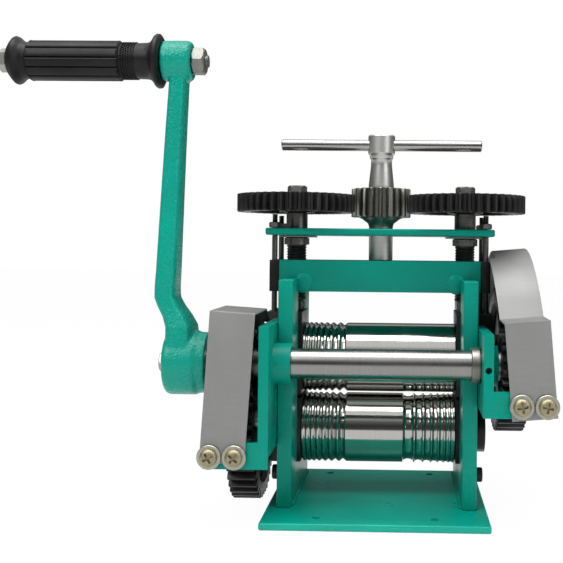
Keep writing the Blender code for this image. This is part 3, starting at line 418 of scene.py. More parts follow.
def bright_steel(name, dark, light, roughness, stretch, depth):
    """Bare steel with tool lines; stretch is the line frequency along X, Y and Z."""
    mat, new, link, bsdf = shader(name, roughness, 1.0)
    lines = textured(new, link, bsdf, TOOL_LINES, depth, {"Stretch": stretch})
    link(two_tone(new, link, lines.outputs["Height"], dark, light), bsdf.inputs["Base Color"])
    link(two_tone(new, link, lines.outputs["Tone"], grey(roughness + 0.06), grey(roughness - 0.03)),
         bsdf.inputs["Roughness"])
    return mat


ROLL_STEEL = bright_steel("roll_steel", (0.45, 0.445, 0.425), (0.49, 0.485, 0.465), 0.1, (2600, 14, 14), 0.0000006)


def softened(profile, size):
    """Cuts each corner of a lathe profile by a small amount."""
    points = [profile[0]]
    for before, here, after in zip(profile, profile[1:], profile[2:]):
        for other in (before, after):
            span = math.dist(here, other)
            share = min(size / span, 0.45) if span else 0
            points.append(tuple(h + (o - h) * share for h, o in zip(here, other)))
    return points + [profile[-1]]


def on_circle(radius, angle):
    return radius * math.cos(angle), radius * math.sin(angle)


def turned(name, profile, axis, at, mat, segments=96, closed=False, sharp=32):
    """Revolves (position, radius) pairs. A closed profile makes a ring; an open one is capped at its poles."""
    bm = bmesh.new()
    rings = []
    for position, radius in profile:
        if radius < 1e-7:
            rings.append([bm.verts.new((0, 0, position))])
            continue
        rings.append([bm.verts.new((*on_circle(radius, 2 * math.pi * k / segments), position))
                      for k in range(segments)])
    pairs = list(zip(rings, rings[1:]))
    if closed:
        pairs.append((rings[-1], rings[0]))
    for low, high in pairs:
        for k in range(segments):
            j = (k + 1) % segments
            ring = [low[k % len(low)], low[j % len(low)], high[j % len(high)], high[k % len(high)]]
            corners = [v for n, v in enumerate(ring) if v not in ring[:n]]
            if len(corners) > 2:
                bm.faces.new(corners)
    bmesh.ops.transform(bm, matrix=Matrix.Translation(at) @ SPIN[axis], verts=bm.verts)
    return shown(name, bm, mat, sharp)


def capped(profile):
    return [(profile[0][0], 0.0)] + list(profile) + [(profile[-1][0], 0.0)]


WIRE_WIDTHS = (5.0, 4.4, 3.8, 3.4, 3.0, 2.6, 2.2)
ROUND_WIDTHS = (7.8, 5.6, 4.9, 4.0, 3.4, 2.7, 2.2)
WIRE_DEPTH, ROUND_DEPTH = 0.72, 0.62        # of half a groove's width
LAND = 0.9 * MM
ROLL_R, ROLL_END = 25 * MM, 55 * MM
JOURNAL_R, GEAR_SEAT_R, SHOULDER_X = 14 * MM, 10 * MM, 82.5 * MM
EDGE_BREAK = 0.6 * MM


def wire_grooves(edge):
    points = []
    for width in WIRE_WIDTHS:
        half = width * MM / 2
        bottom = ROLL_R - half * WIRE_DEPTH
        points += [(edge, ROLL_R), (edge - half * 0.9, bottom), (edge - half * 1.1, bottom),
                   (edge - 2 * half, ROLL_R)]
        edge -= 2 * half + LAND
    return points[::-1]


def half_round_grooves(edge):
    points = []
    for width in ROUND_WIDTHS:
        half = width * MM / 2
        for k in range(9):
            angle = math.pi * k / 8
            points.append((edge + half * (1 - math.cos(angle)), ROLL_R - half * ROUND_DEPTH * math.sin(angle)))
        edge += 2 * half + LAND
    return points


def extent(node, axis):
    """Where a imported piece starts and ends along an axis, and the point its axis runs through."""
    low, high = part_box(node)
    through, index = centre(node), "XYZ".index(axis)
    through[index] = 0
    return low[index], high[index], through


def roll(node, name, body, gear_side, grooves):
    start, end, through = extent(node, "X")
    left, right = [(start, JOURNAL_R)], [(end, JOURNAL_R)]
    if gear_side < 0:
        left = [(start, GEAR_SEAT_R), (-SHOULDER_X, GEAR_SEAT_R), (-SHOULDER_X, JOURNAL_R)]
    else:
        right = [(SHOULDER_X, JOURNAL_R), (SHOULDER_X, GEAR_SEAT_R), (end, GEAR_SEAT_R)]
    profile = left + [(-ROLL_END, JOURNAL_R), (-ROLL_END, ROLL_R - EDGE_BREAK), (-ROLL_END + EDGE_BREAK, ROLL_R)]
    profile += grooves + [(ROLL_END - EDGE_BREAK, ROLL_R), (ROLL_END, ROLL_R - EDGE_BREAK), (ROLL_END, JOURNAL_R)]
    piece = turned(name, capped(profile + right), "X", through, ROLL_STEEL, 160, sharp=24)
    place_on(piece, body, "polished_steel", node)


roll("upper_roll", "upper_roll_ground", "upper_roller", 1, wire_grooves(-23.5 * MM))
roll("lower_roll", "lower_roll_ground", "lower_roller", -1,
     wire_grooves(-23.5 * MM) + half_round_grooves(17.5 * MM))

# ---- crank shaft ----
# A ground steel bar across the front, with a turned collar against the right bracket.
SHAFT_STEEL = bright_steel("shaft_steel", (0.28, 0.277, 0.267), (0.31, 0.306, 0.296), 0.26, (1900, 10, 10), 0.0000012)
COLLAR_STEEL = bright_steel("collar_steel", (0.22, 0.207, 0.185), (0.29, 0.275, 0.248), 0.36, (900, 12, 12), 0.000003)
shaft_left, shaft_right, shaft_at = extent("crank_shaft", "X")
SHAFT_R, HUB_SEAT_R, HUB_SEAT_X = 10 * MM, 8 * MM, -116 * MM
shaft_profile = [(shaft_left, HUB_SEAT_R), (HUB_SEAT_X, HUB_SEAT_R), (HUB_SEAT_X, SHAFT_R),
                 (shaft_right, SHAFT_R)]
shaft = turned("shaft_ground", capped(softened(shaft_profile, 0.6 * MM)), "X", shaft_at, SHAFT_STEEL, 128)
place_on(shaft, "crank", "polished_steel", "crank_shaft")


def ring(name, node, outer, inner, mat, body, slot):
    """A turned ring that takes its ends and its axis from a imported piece."""
    start, end, through = extent(node, "X")
    chamfer = 0.5 * MM
    profile = [(start, inner), (start, outer - chamfer), (start + chamfer, outer), (end - chamfer, outer),
               (end, outer - chamfer), (end, inner)]
    place_on(turned(name, profile, "X", through, mat, closed=True), body, slot, node)


ring("collar_turned", "shaft_collar", 12 * MM, SHAFT_R + 0.3 * MM, COLLAR_STEEL, "crank", "oiled_steel")

# ---- gears ----
# Hobbed steel gears with 20 degree involute teeth. The big ones are blackened and have a web
# turned thinner on each face; the handle's pinion is left bright.


def blackened(name, tone, roughness):
    mat, new, link, bsdf = shader(name, roughness, 0.75)
    blotch = grain(new, link, bsdf, 500.0, 60.0, 0.0, 0.00004)
    link(two_tone(new, link, blotch, grey(tone * 0.7), grey(tone * 1.3)), bsdf.inputs["Base Color"])
    link(two_tone(new, link, blotch, grey(roughness + 0.12), grey(roughness - 0.05)), bsdf.inputs["Roughness"])
    return mat


GEAR_BLACK = blackened("gear_black", 0.03, 0.4)
PINION_STEEL = bright_steel("pinion_steel", (0.2, 0.2, 0.18), (0.28, 0.28, 0.26), 0.3, (300, 300, 900), 0.000004)
PRESSURE = math.radians(20)
ADDENDUM, DEDENDUM = 0.92, 1.2


def involute(angle):
    return math.tan(angle) - angle


def tooth_angles(teeth, module, phase, tip_cut=0.0):
    """(angle, radius) of every point round a gear, with involute flanks and small tip chamfers."""
    pitch = module * teeth / 2
    base_r = pitch * math.cos(PRESSURE)
    tip, root = pitch + ADDENDUM * module - tip_cut, pitch - DEDENDUM * module
    half_tooth = math.pi / (2 * teeth) - 0.1 * MM / pitch
    start = max(base_r, root)
    flank = []
    for share in (0.0, 0.2, 0.4, 0.6, 0.8, 1.0):
        radius = start + (tip - start) * share
        turn = math.acos(min(1.0, base_r / radius))
        flank.append((half_tooth + involute(PRESSURE) - involute(turn), radius))
    if root < base_r:
        flank.insert(0, (flank[0][0], root))
    root_half = (flank[0][0] + math.pi / teeth) / 2
    flank.insert(0, (root_half, root))
    flank[-1] = (flank[-1][0] * 0.96, flank[-1][1])
    points = []
    for tooth in range(teeth):
        middle = phase + 2 * math.pi * tooth / teeth
        points += [(middle - half, radius) for half, radius in flank]
        points += [(middle + half, radius) for half, radius in reversed(flank)]
    return points


def mate_phase(phase, teeth, line, mate_teeth):
    share = ((line - phase) * teeth / (2 * math.pi)) % 1.0
    return line + math.pi - (0.5 - share) * 2 * math.pi / mate_teeth


def skinned(bm, rows, around=False):
    """Faces between matching rows of points; around also joins the last row to the first."""
    count = len(rows[0])
    for first, second in zip(rows, rows[1:] + rows[:1] if around else rows[1:]):
        for k in range(count):
            j = (k + 1) % count
            bm.faces.new((first[k], first[j], second[j], second[k]))


def cut_gear(name, node, body, teeth, module, phase, bore, axis, mat, slot, web=None, tip_cut=0.0):
    """A gear built from matching loops: bore, hub, web, rim and teeth, then back down the other face."""
    start, end, through = extent(node, axis)
    teeth_loop = tooth_angles(teeth, module, phase, tip_cut)
    chamfer, small = 0.5 * MM, 0.4 * MM
    root = module * (teeth / 2 - DEDENDUM)

    def circle(radius):
        return [(angle, radius) for angle, _ in teeth_loop]

    def drawn_in(amount):
        return [(angle, radius - amount if radius > root + amount else radius) for angle, radius in teeth_loop]

    face = [(circle(bore), small), (circle(bore + small), 0.0)]
    if web:
        inner, outer, depth = web
        face += [(circle(inner - small), 0.0), (circle(inner), small), (circle(inner + chamfer), depth - chamfer),
                 (circle(inner + 1.2 * MM), depth), (circle(outer - 1.2 * MM), depth),
                 (circle(outer - chamfer), depth - chamfer), (circle(outer), small), (circle(outer + small), 0.0)]
    face += [(circle(root - 0.6 * MM), 0.0), (drawn_in(chamfer), 0.0), (teeth_loop, chamfer)]
    loops = [(points, start + depth) for points, depth in face]
    loops += [(points, end - depth) for points, depth in reversed(face)]
    bm = bmesh.new()
    rows = []
    for points, position in loops:
        row = []
        for angle, radius in points:
            a, b = on_circle(radius, angle)
            place = (position, a, b) if axis == "X" else (a, b, position)
            row.append(bm.verts.new(Vector(place) + through))
        rows.append(row)
    skinned(bm, rows, around=True)
    place_on(shown(name, bm, mat, 28), body, slot, node)


def line_angle(start, end):
    return math.atan2(end.z - start.z, end.y - start.y)


DRIVE_MODULE, TOP_MODULE = 2.5 * MM, 2 * MM
PINION_TEETH, IDLER_TEETH, ROLL_TEETH = 16, 14, 40
HANDLE_TEETH, SCREW_TEETH = 20, 42
BIG_WEB, SCREW_GEAR_WEB = (17 * MM, 41 * MM, 4 * MM), (13 * MM, 34 * MM, 3 * MM)    # inner and outer radius, depth


def drive_gear(name, node, body, teeth, phase, bore=10.3 * MM, **extra):
    cut_gear(name, node, body, teeth, DRIVE_MODULE, phase, bore, "X", GEAR_BLACK, "black_steel", **extra)


shaft_c, idler_c = centre("crank_shaft"), centre("idler_gear")
lower_c, upper_c = centre("lower_roll"), centre("upper_roll")
shaft_phase = math.radians(4)
idler_phase = mate_phase(shaft_phase, PINION_TEETH, line_angle(shaft_c, idler_c), IDLER_TEETH)
lower_phase = mate_phase(idler_phase, IDLER_TEETH, line_angle(idler_c, lower_c), ROLL_TEETH)
upper_phase = mate_phase(shaft_phase, PINION_TEETH, line_angle(shaft_c, upper_c), ROLL_TEETH)
drive_gear("pinion_left_cut", "pinion_left", "crank", PINION_TEETH, shaft_phase)
drive_gear("pinion_right_cut", "pinion_right", "crank", PINION_TEETH, shaft_phase, tip_cut=0.2 * MM)
drive_gear("idler_cut", "idler_gear", "idler", IDLER_TEETH, idler_phase, 6.3 * MM)
drive_gear("lower_gear_cut", "lower_roll_gear", "lower_roller", ROLL_TEETH, lower_phase, web=BIG_WEB)
drive_gear("upper_gear_cut", "upper_roll_gear", "upper_roller", ROLL_TEETH, upper_phase, web=BIG_WEB)
top_phase = math.radians(90)
for side, line in (("left", math.pi), ("right", 0.0)):
    phase = mate_phase(top_phase, HANDLE_TEETH, line, SCREW_TEETH)
    cut_gear("screw_gear_cut_" + side, "screw_gear_" + side, side + "_screw", SCREW_TEETH, TOP_MODULE, phase,
             6.3 * MM, "Z", GEAR_BLACK, "black_steel", SCREW_GEAR_WEB)
cut_gear("handle_pinion_cut", "handle_pinion", "t_handle", HANDLE_TEETH, TOP_MODULE, top_phase, 9.4 * MM, "Z",
         PINION_STEEL, "machined_steel")
for level in ("lower", "upper"):
    node = level + "_gear_nut"
    ring(node + "_turned", node, 13 * MM, 10.3 * MM, COLLAR_STEEL, level + "_roller", "oiled_steel")

# ---- shaft brackets ----
# Thick plates bolted to the cheeks, each with a bored boss for the shaft and a tab for the guard.
# The brackets take the green darkened by the default 0.8, as painted shade.
bracket_mat = green_paint("bracket_paint", 640.0, 0.25, 0.00018)
pair("bracket", "bracket_shell", bracket_mat, 0.5 * MM, "frame", "green_paint")

# ---- sheet guards ----
# Folded from thin sheet steel, open towards the mill, with a dull grey satin finish.
SHEET_STEEL = bright_steel("guard_sheet", (0.225, 0.226, 0.222), (0.238, 0.239, 0.235), 0.5, (60, 60, 900), 0.0000005)
SHEET_STEEL.node_tree.nodes["Principled BSDF"].inputs["Metallic"].default_value = 0.45
pair("guard", "guard_folded", SHEET_STEEL, 0.45 * MM, "frame", "grey_sheet")

# ---- guard screws ----
# Cross-recess pan heads over plain washers, plated a pale yellow.
ZINC = bright_steel("yellow_zinc", (0.34, 0.3, 0.19), (0.43, 0.38, 0.26), 0.5, (300, 300, 300), 0.000002)
WASHER = bright_steel("washer_zinc", (0.4, 0.4, 0.33), (0.48, 0.475, 0.4), 0.36, (300, 300, 300), 0.000002)
SCREW_NODES = [f"guard_screw_{side}_{number}" for side in SIDES for number in (1, 2)]


def in_mm(pairs):
    return [(position * MM, radius * MM) for position, radius in pairs]


def screw_head():
    """The head points along -Y, its seat at the origin."""
    profile = in_mm([(0, 0), (0, 5.6), (-1, 5.6), (-1.9, 5.1), (-2.6, 4.1), (-3, 2.6), (-3.1, 0)])
    obj = turned("screw_head", profile, "Y", (0, 0, 0), ZINC, 48)
    slots = []
    for turn in (0.7, 0.7 + math.pi / 2):
        slot = box_mesh((-3.5 * MM, -4 * MM, -0.75 * MM), (3.5 * MM, -0.9 * MM, 0.75 * MM))
        bmesh.ops.rotate(slot, matrix=Matrix.Rotation(turn, 3, "Y"), verts=slot.verts)
        slots.append(shown("recess", slot, ZINC))
    return combine(obj, slots)


WASHER_THICK, SEAT_DEPTH = 1.3 * MM, 4.4 * MM


def seat(node):
    """The point of the sheet that a guard screw's washer rests on."""
    middle = centre(node)
    return Vector((middle.x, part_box(node)[0].y + SEAT_DEPTH, middle.z))


spots = [(seat(n) - Vector((0, WASHER_THICK, 0)), (0, 0.35 * k, 0)) for k, n in enumerate(SCREW_NODES)]
heads = repeated("guard_screw_heads", screw_head(), spots, ZINC)
place_on(heads, "frame", "zinc_plate", *SCREW_NODES)
washer_profile = in_mm([(0, 2.6), (0, 7.5), (-0.3, 7.8), (-1, 7.8), (-1.3, 7.5), (-1.3, 2.6)])
washer = turned("washer", washer_profile, "Y", (0, 0, 0), WASHER, 64, closed=True)
washers = repeated("guard_washers", washer, [(seat(n), (0, 0, 0)) for n in SCREW_NODES], WASHER)
place_on(washers, "frame", "zinc_plate")

# ---- crank arm ----
# An iron casting: a round hub on the shaft, a joggled tapering lever and a boss at its end.
# It is painted like the plates, over a coarse pebbled skin.
# The arm takes the green at full strength, without the painted shade of the plates.
CAST_PAINT = green_paint("cast_paint", 620.0, 0.8, 0.0004, 0.22, 0.25, 1.0)
# Height above the shaft, middle in X, thickness and width, in mm.
ARM = [(-6, -129.5, 18, 36), (10, -129.5, 18, 37), (24, -130, 17.5, 33), (31, -133, 16, 29), (37, -136.8, 15, 26.5),
       (43, -139.7, 14.2, 25), (50, -139.8, 14, 24.2), (60, -139.2, 13.8, 23.5), (90, -137.9, 13.2, 22.2),
       (120, -136.6, 12.6, 21), (155, -135, 11.9, 19.7), (186, -133.4, 11.3, 18.5), (200, -133.4, 11.3, 17)]
SQUARENESS = 0.42


def squared(share, size):
    return math.copysign(abs(share) ** SQUARENESS, share) * size / 2


arm_bm = bmesh.new()
arm_rows = []
around = [on_circle(1, 2 * math.pi * k / 24) for k in range(24)]
for height, mid_x, thick, width in ARM:
    arm_rows.append([arm_bm.verts.new(((mid_x + squared(c, thick)) * MM, shaft_at.y + squared(s, width) * MM,
                                       shaft_at.z + height * MM)) for c, s in around])
skinned(arm_bm, arm_rows)
arm_bm.faces.new(arm_rows[0])
arm_bm.faces.new(arm_rows[-1])
arm = shown("crank_arm_cast", arm_bm, CAST_PAINT)
grip_left, grip_right, grip_at = extent("handle_grip", "X")
hub_profile = in_mm([(-139.5, 18.5), (-138.2, 20.6), (-136, 21.3), (-119, 21.3), (-117.6, 20.1), (-111.5, 20.1)])
boss_profile = in_mm([(-144, 12.6), (-143, 13.5), (-126.5, 13.5), (-124.5, 12.0)])
hub = turned("hub", capped(hub_profile), "X", shaft_at, CAST_PAINT, 64)
boss = turned("boss", capped(boss_profile), "X", grip_at, CAST_PAINT, 64)
combine(arm, [hub, boss], "UNION")
remesh = arm.modifiers.new("cast_skin", "REMESH")
remesh.mode = "VOXEL"
remesh.voxel_size = 0.9 * MM
smooth = arm.modifiers.new("cast_fillets", "SMOOTH")
smooth.iterations = 6
smooth.factor = 0.5
applied(arm, 60)
bores = [round_cutter("bore", 8.3 * MM, -136.8 * MM, -110 * MM, shaft_at, "X"),
         round_cutter("bolt_bore", 4.3 * MM, -145 * MM, -135 * MM, shaft_at, "X"),
         round_cutter("grip_bore", 4.3 * MM, -150 * MM, -120 * MM, grip_at, "X")]
combine(arm, bores)
arm.data.set_sharp_from_angle(angle=math.radians(50))
place_on(arm, "crank", "green_paint", "crank_arm")

# ---- crank bolts and nut ----
# Plated hexagon fasteners with chamfered corners: one holds the crank, the long one carries the grip.
BOLT_ZINC = bright_steel("bolt_zinc", (0.36, 0.355, 0.335), (0.43, 0.425, 0.4), 0.36, (500, 500, 500), 0.000003)
NUT_ZINC = bright_steel("nut_zinc", (0.25, 0.246, 0.225), (0.31, 0.305, 0.285), 0.5, (500, 500, 500), 0.000003)


def hexagon(name, across, low, high, axis, at, mat, turn=0.0, bore=0.0, both_ends=False):
    """A hexagon prism with turned corner chamfers, and a bore where it is a nut."""
    corner = across / math.sqrt(3)
    bm = bmesh.new()
    rows = [[bm.verts.new((*on_circle(corner, turn + k * math.pi / 3), z)) for k in range(6)] for z in (low, high)]
    skinned(bm, rows)
    for row in rows:
        bm.faces.new(row)
    bmesh.ops.transform(bm, matrix=Matrix.Translation(at) @ SPIN[axis], verts=bm.verts)
    obj = shown(name, bm, mat)
    drop, outer, face = corner * 0.16, corner * 1.02, across * 0.47
    first = [(low, face), (low + drop, outer)] if both_ends else [(low - MM, outer)]
    barrel = turned("barrel", capped(first + [(high - drop, outer), (high, face)]), axis, at, mat, 64)
    combine(obj, [barrel], "INTERSECT")
    if bore:
        combine(obj, [round_cutter("thread", bore, low - MM, high + MM, at, axis)])
    return obj


def left_head(name, node, across, height, at, turn=0.0):
    """A bolt head that faces left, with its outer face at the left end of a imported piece."""
    head = hexagon(name, across, 0, height, "X", (0, 0, 0), BOLT_ZINC, turn)
    place = Vector((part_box(node)[0].x + height, at.y, at.z))
    head.data.transform(Matrix.Translation(place) @ Matrix.Rotation(math.pi, 4, "Z"))
    place_on(head, "crank", "zinc_plate", node)


left_head("hub_bolt_head", "hub_bolt", 12 * MM, 4.4 * MM, shaft_at, math.radians(30))
left_head("grip_bolt_head", "grip_bolt", 14 * MM, 6 * MM, grip_at)


def thread_rod(name, radius, low, high, pitch, depth, axis, at, mat, segments=40, steps=6):
    """A screw thread as a helical ripple on a rod, faded at its ends."""
    count = int((high - low) / pitch * steps)
    bm = bmesh.new()
    rows = []
    for row in range(count + 1):
        z = low + (high - low) * row / count
        fade = min(1.0, (z - low) / pitch, (high - z) / pitch)
        points = []
        for k in range(segments):
            phase = (z / pitch - k / segments) % 1.0
            cut = depth * fade * (1 - abs(2 * phase - 1))
            points.append(bm.verts.new((*on_circle(radius - cut, 2 * math.pi * k / segments), z)))
        rows.append(points)
    skinned(bm, rows)
    bm.faces.new(rows[0])
    bm.faces.new(rows[-1])
    bmesh.ops.transform(bm, matrix=Matrix.Translation(at) @ SPIN[axis], verts=bm.verts)
    return shown(name, bm, mat, 50)


bolt_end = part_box("grip_bolt")[1].x
tip = thread_rod("grip_bolt_thread", 4 * MM, -123 * MM, bolt_end, 1.25 * MM, 0.5 * MM, "X", grip_at, NUT_ZINC)
place_on(tip, "crank", "zinc_plate")
nut_left, nut_right, _ = extent("grip_nut", "X")
nut = hexagon("grip_nut_hex", 16.5 * MM, nut_left, nut_right, "X", grip_at, NUT_ZINC, math.radians(30),
              4.2 * MM, True)
place_on(nut, "crank", "zinc_plate", "grip_nut")

# ---- rubber grip ----
# One moulding: a flared end, raised ribs along the palm, a cross-cut band and a thumb flange.
RUBBER, new, link, bsdf = shader("grip_moulded", 0.44, 0.0, 0.2)
blotch = grain(new, link, bsdf, 1500.0, 45.0, 0.0, 0.00005)
link(two_tone(new, link, blotch, (0.006, 0.006, 0.0068), (0.0105, 0.0105, 0.0115)), bsdf.inputs["Base Color"])
link(two_tone(new, link, blotch, grey(0.46), grey(0.34)), bsdf.inputs["Roughness"])
# Share of the grip's length, and radius in mm.
GRIP_FORM = [(0, 9.5), (0.01, 11.2), (0.03, 14.0), (0.045, 15.6), (0.055, 16.0), (0.068, 15.4), (0.095, 12.9),
             (0.12, 12.0), (0.16, 11.4), (0.2, 11.4), (0.7, 11.4), (0.9, 12.0), (0.925, 12.6), (0.945, 15.0),
             (0.958, 17.2), (0.97, 18.0), (0.985, 17.8), (0.995, 16.0), (1.0, 13.0)]
RIBS, RIB_HEIGHT = 12, 1.9 * MM
RIB_START, RIB_END, RIB_FADE = 0.135, 0.735, 0.012
BAND_START, BAND_END = 0.75, 0.83
grip_length = grip_right - grip_left


def grip_radius(share):
    for (a, ra), (b, rb) in zip(GRIP_FORM, GRIP_FORM[1:]):
        if a <= share <= b:
            return (ra + (rb - ra) * (share - a) / (b - a)) * MM
    return GRIP_FORM[-1][1] * MM


def rib_lift(share, angle):
    """Height of the raised ribs: wide flat lands parted by narrow rounded grooves."""
    if not RIB_START <= share <= RIB_END:
        return 0.0
    ends = min(1.0, (share - RIB_START) / RIB_FADE, (RIB_END - share) / RIB_FADE)
    wave = abs(((angle * RIBS / (2 * math.pi)) % 1.0) - 0.5) * 2
    land = min(1.0, max(0.0, (1 - wave) / 0.3))
    return RIB_HEIGHT * math.sqrt(max(0.0, ends)) * land ** 0.5


def grip_row(share, radius_at):
    row = []
    for k in range(AROUND):
        angle = 2 * math.pi * k / AROUND
        up, along = on_circle(radius_at(angle), angle)
        row.append(grip_bm.verts.new((grip_left + share * grip_length, grip_at.y + along, grip_at.z + up)))
    return row


AROUND = 192
offsets = (-0.002, 0.0, 0.002, 0.006, RIB_FADE)
shares = sorted({round(s, 4) for s in [k / 90 for k in range(91)] + [RIB_START + d for d in offsets]
                 + [RIB_END - d for d in offsets] + [s for s, _ in GRIP_FORM]})
grip_bm = bmesh.new()
grip_rows = [grip_row(s, lambda angle, s=s: grip_radius(s) + rib_lift(s, angle)) for s in shares]
grip_rows += [grip_row(s, lambda angle: 4.3 * MM) for s in (1.0, 0.0)]
skinned(grip_bm, grip_rows, around=True)
place_on(shown("grip_rubber_body", grip_bm, RUBBER, 40), "grip", "grip_rubber", "handle_grip")


def band_stud():
    bm = bmesh.new()
    bmesh.ops.create_cone(bm, cap_ends=True, segments=4, radius1=0.9 * MM, radius2=0.45 * MM, depth=1.1 * MM)
    return shown("band_stud", bm, RUBBER)


stud_spots = []
ROWS, COLUMNS, BAND_R = 6, 44, 11.9 * MM
for row in range(ROWS):
    for column in range(COLUMNS):
        angle = 2 * math.pi * (column + 0.5 * (row % 2)) / COLUMNS
        x = grip_left + grip_length * (BAND_START + (BAND_END - BAND_START) * row / (ROWS - 1))
        up, along = on_circle(BAND_R, angle)
        spot = (x, grip_at.y - along, grip_at.z + up)
        stud_spots.append((spot, (angle, 0, 0)))
place_on(repeated("grip_band_studs", band_stud(), stud_spots, RUBBER), "grip", "grip_rubber")

# ---- bearing blocks and bushes ----
# Blackened steel blocks that fill the cheek slots; the upper pair slides and is lined with bronze.
# The lower right one has a turned end outside its cheek.
ROUND_END_R, LOWER_AXIS_Z = 17 * MM, 50.5 * MM
BLOCK_BLACK = blackened("block_black", 0.022, 0.36)
BRONZE = bright_steel("bush_bronze", (0.42, 0.25, 0.1), (0.55, 0.35, 0.15), 0.3, (1500, 15, 15), 0.00001)
for side in SIDES:
    for level, body in (("lower", "frame"), ("upper", "carriage")):
        node = f"{level}_block_{side}"
        block = from_node(node, node + "_milled", BLOCK_BLACK, 0.5 * MM)
        if node == "lower_block_right":
            low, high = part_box(node)
            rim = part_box("cheek_right")[1].x + 0.3 * MM
            keep = round_cutter("round_end", ROUND_END_R, rim, high.x + MM, (0, slot_y, LOWER_AXIS_Z), "X")
            inside = box_mesh([edge - MM for edge in low], (rim + 0.2 * MM, high.y + MM, high.z + MM))
            combine(keep, [shown("inside", inside, BLOCK_BLACK)], "UNION")
            combine(block, [keep], "INTERSECT")
        place_on(block, body, "black_steel", node)
    ring("bush_turned_" + side, "upper_bush_" + side, 16.5 * MM, 14.3 * MM, BRONZE, "upper_bushes", "bush_bronze")
    guide = from_node("rod_guide_" + side, "guide_milled_" + side, BLOCK_BLACK, 0.4 * MM)
    place_on(guide, "frame", "oiled_steel", "rod_guide_" + side)

# ---- lift plate, rods and keepers ----
# The plate hangs the upper blocks from the screws by four thin studs with hexagon nuts.
plate = from_node("lift_plate", "lift_plate_painted", SHADED_PLATE_PAINT, 0.4 * MM)
place_on(plate, "carriage", "green_paint", "lift_plate")
ROD_STEEL = bright_steel("rod_steel", (0.1, 0.098, 0.09), (0.16, 0.155, 0.145), 0.34, (200, 200, 1500), 0.000003)
KEEPER_STEEL = bright_steel("keeper_steel", (0.3, 0.29, 0.27), (0.38, 0.37, 0.35), 0.3, (700, 40, 40), 0.000002)
plate_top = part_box("lift_plate")[1].z
rod_nodes = [f"lift_rod_{side}_{end}" for side in SIDES for end in ("front", "back")]
nut_spots = []
thread_start, ROD_R = plate_top - 6 * MM, 2 * MM
for node in rod_nodes:
    bottom, top, at = extent(node, "Z")
    shank = capped([(bottom, ROD_R), (thread_start, ROD_R)])
    place_on(turned(node + "_shank", shank, "Z", at, ROD_STEEL, 32), "carriage", "oiled_steel", node)
    thread = thread_rod(node + "_thread", ROD_R, thread_start, top, 0.7 * MM, 0.35 * MM, "Z", at, ROD_STEEL, 28)
    place_on(thread, "carriage", "oiled_steel")
    nut_spots.append(((at.x, at.y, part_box(node.replace("lift_rod", "rod_nut"))[0].z), (0, 0, 0)))
small_nut = hexagon("small_nut", 7.5 * MM, 0, 4 * MM, "Z", (0, 0, 0), KEEPER_STEEL, 0.0, 2.2 * MM, True)
nuts = repeated("rod_nuts_hex", small_nut, nut_spots, KEEPER_STEEL)
place_on(nuts, "carriage", "machined_steel", *[n.replace("lift_rod", "rod_nut") for n in rod_nodes])
pair("keeper", "keeper_sheet", KEEPER_STEEL, 0.15 * MM, "carriage", "machined_steel", 1)

# ---- adjusting screws ----
# Blackened screws with a fine thread below, a flange under the plate and a bright neck above it.
SCREW_BLACK = blackened("screw_black", 0.05, 0.34)
NECK_STEEL = bright_steel("neck_steel", (0.16, 0.155, 0.145), (0.24, 0.235, 0.22), 0.26, (40, 40, 1600), 0.000002)
FLANGE_BOTTOM = 184.3 * MM
for side in SIDES:
    node = "screw_" + side
    bottom, top, at = extent(node, "Z")
    body = side + "_screw"
    gear_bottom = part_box("screw_gear_" + side)[0].z
    nose = [(bottom, 3.4 * MM), (bottom + 0.6 * MM, 4 * MM), (143 * MM, 4 * MM), (143 * MM, 6.4 * MM),
            (144 * MM, 7.2 * MM), (145 * MM, 7.2 * MM)]
    place_on(turned("screw_nose_" + side, capped(nose), "Z", at, SCREW_BLACK, 48), body, "oiled_steel")
    thread = thread_rod("screw_thread_" + side, 7.4 * MM, 144.5 * MM, FLANGE_BOTTOM + 0.1 * MM, 2 * MM, 0.9 * MM, "Z",
                        at, SCREW_BLACK, 64, 8)
    place_on(thread, body, "oiled_steel", node)
    keeper_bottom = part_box("keeper_" + side)[0].z - 0.3 * MM
    neck = [(FLANGE_BOTTOM, 9.2 * MM), (keeper_bottom, 9.2 * MM), (keeper_bottom, 7.8 * MM),
            (gear_bottom - 0.3 * MM, 7.8 * MM), (gear_bottom - 0.3 * MM, 6 * MM), (top, 6 * MM)]
    place_on(turned("screw_neck_" + side, capped(softened(neck, 0.35 * MM)), "Z", at, NECK_STEEL, 64), body,
             "oiled_steel")
    cap_bottom, cap_top, _ = extent("screw_bolt_" + side, "Z")
    cap = hexagon("screw_cap_" + side, 12.6 * MM, cap_bottom, cap_top, "Z", at, BOLT_ZINC)
    place_on(cap, body, "machined_steel", "screw_bolt_" + side)

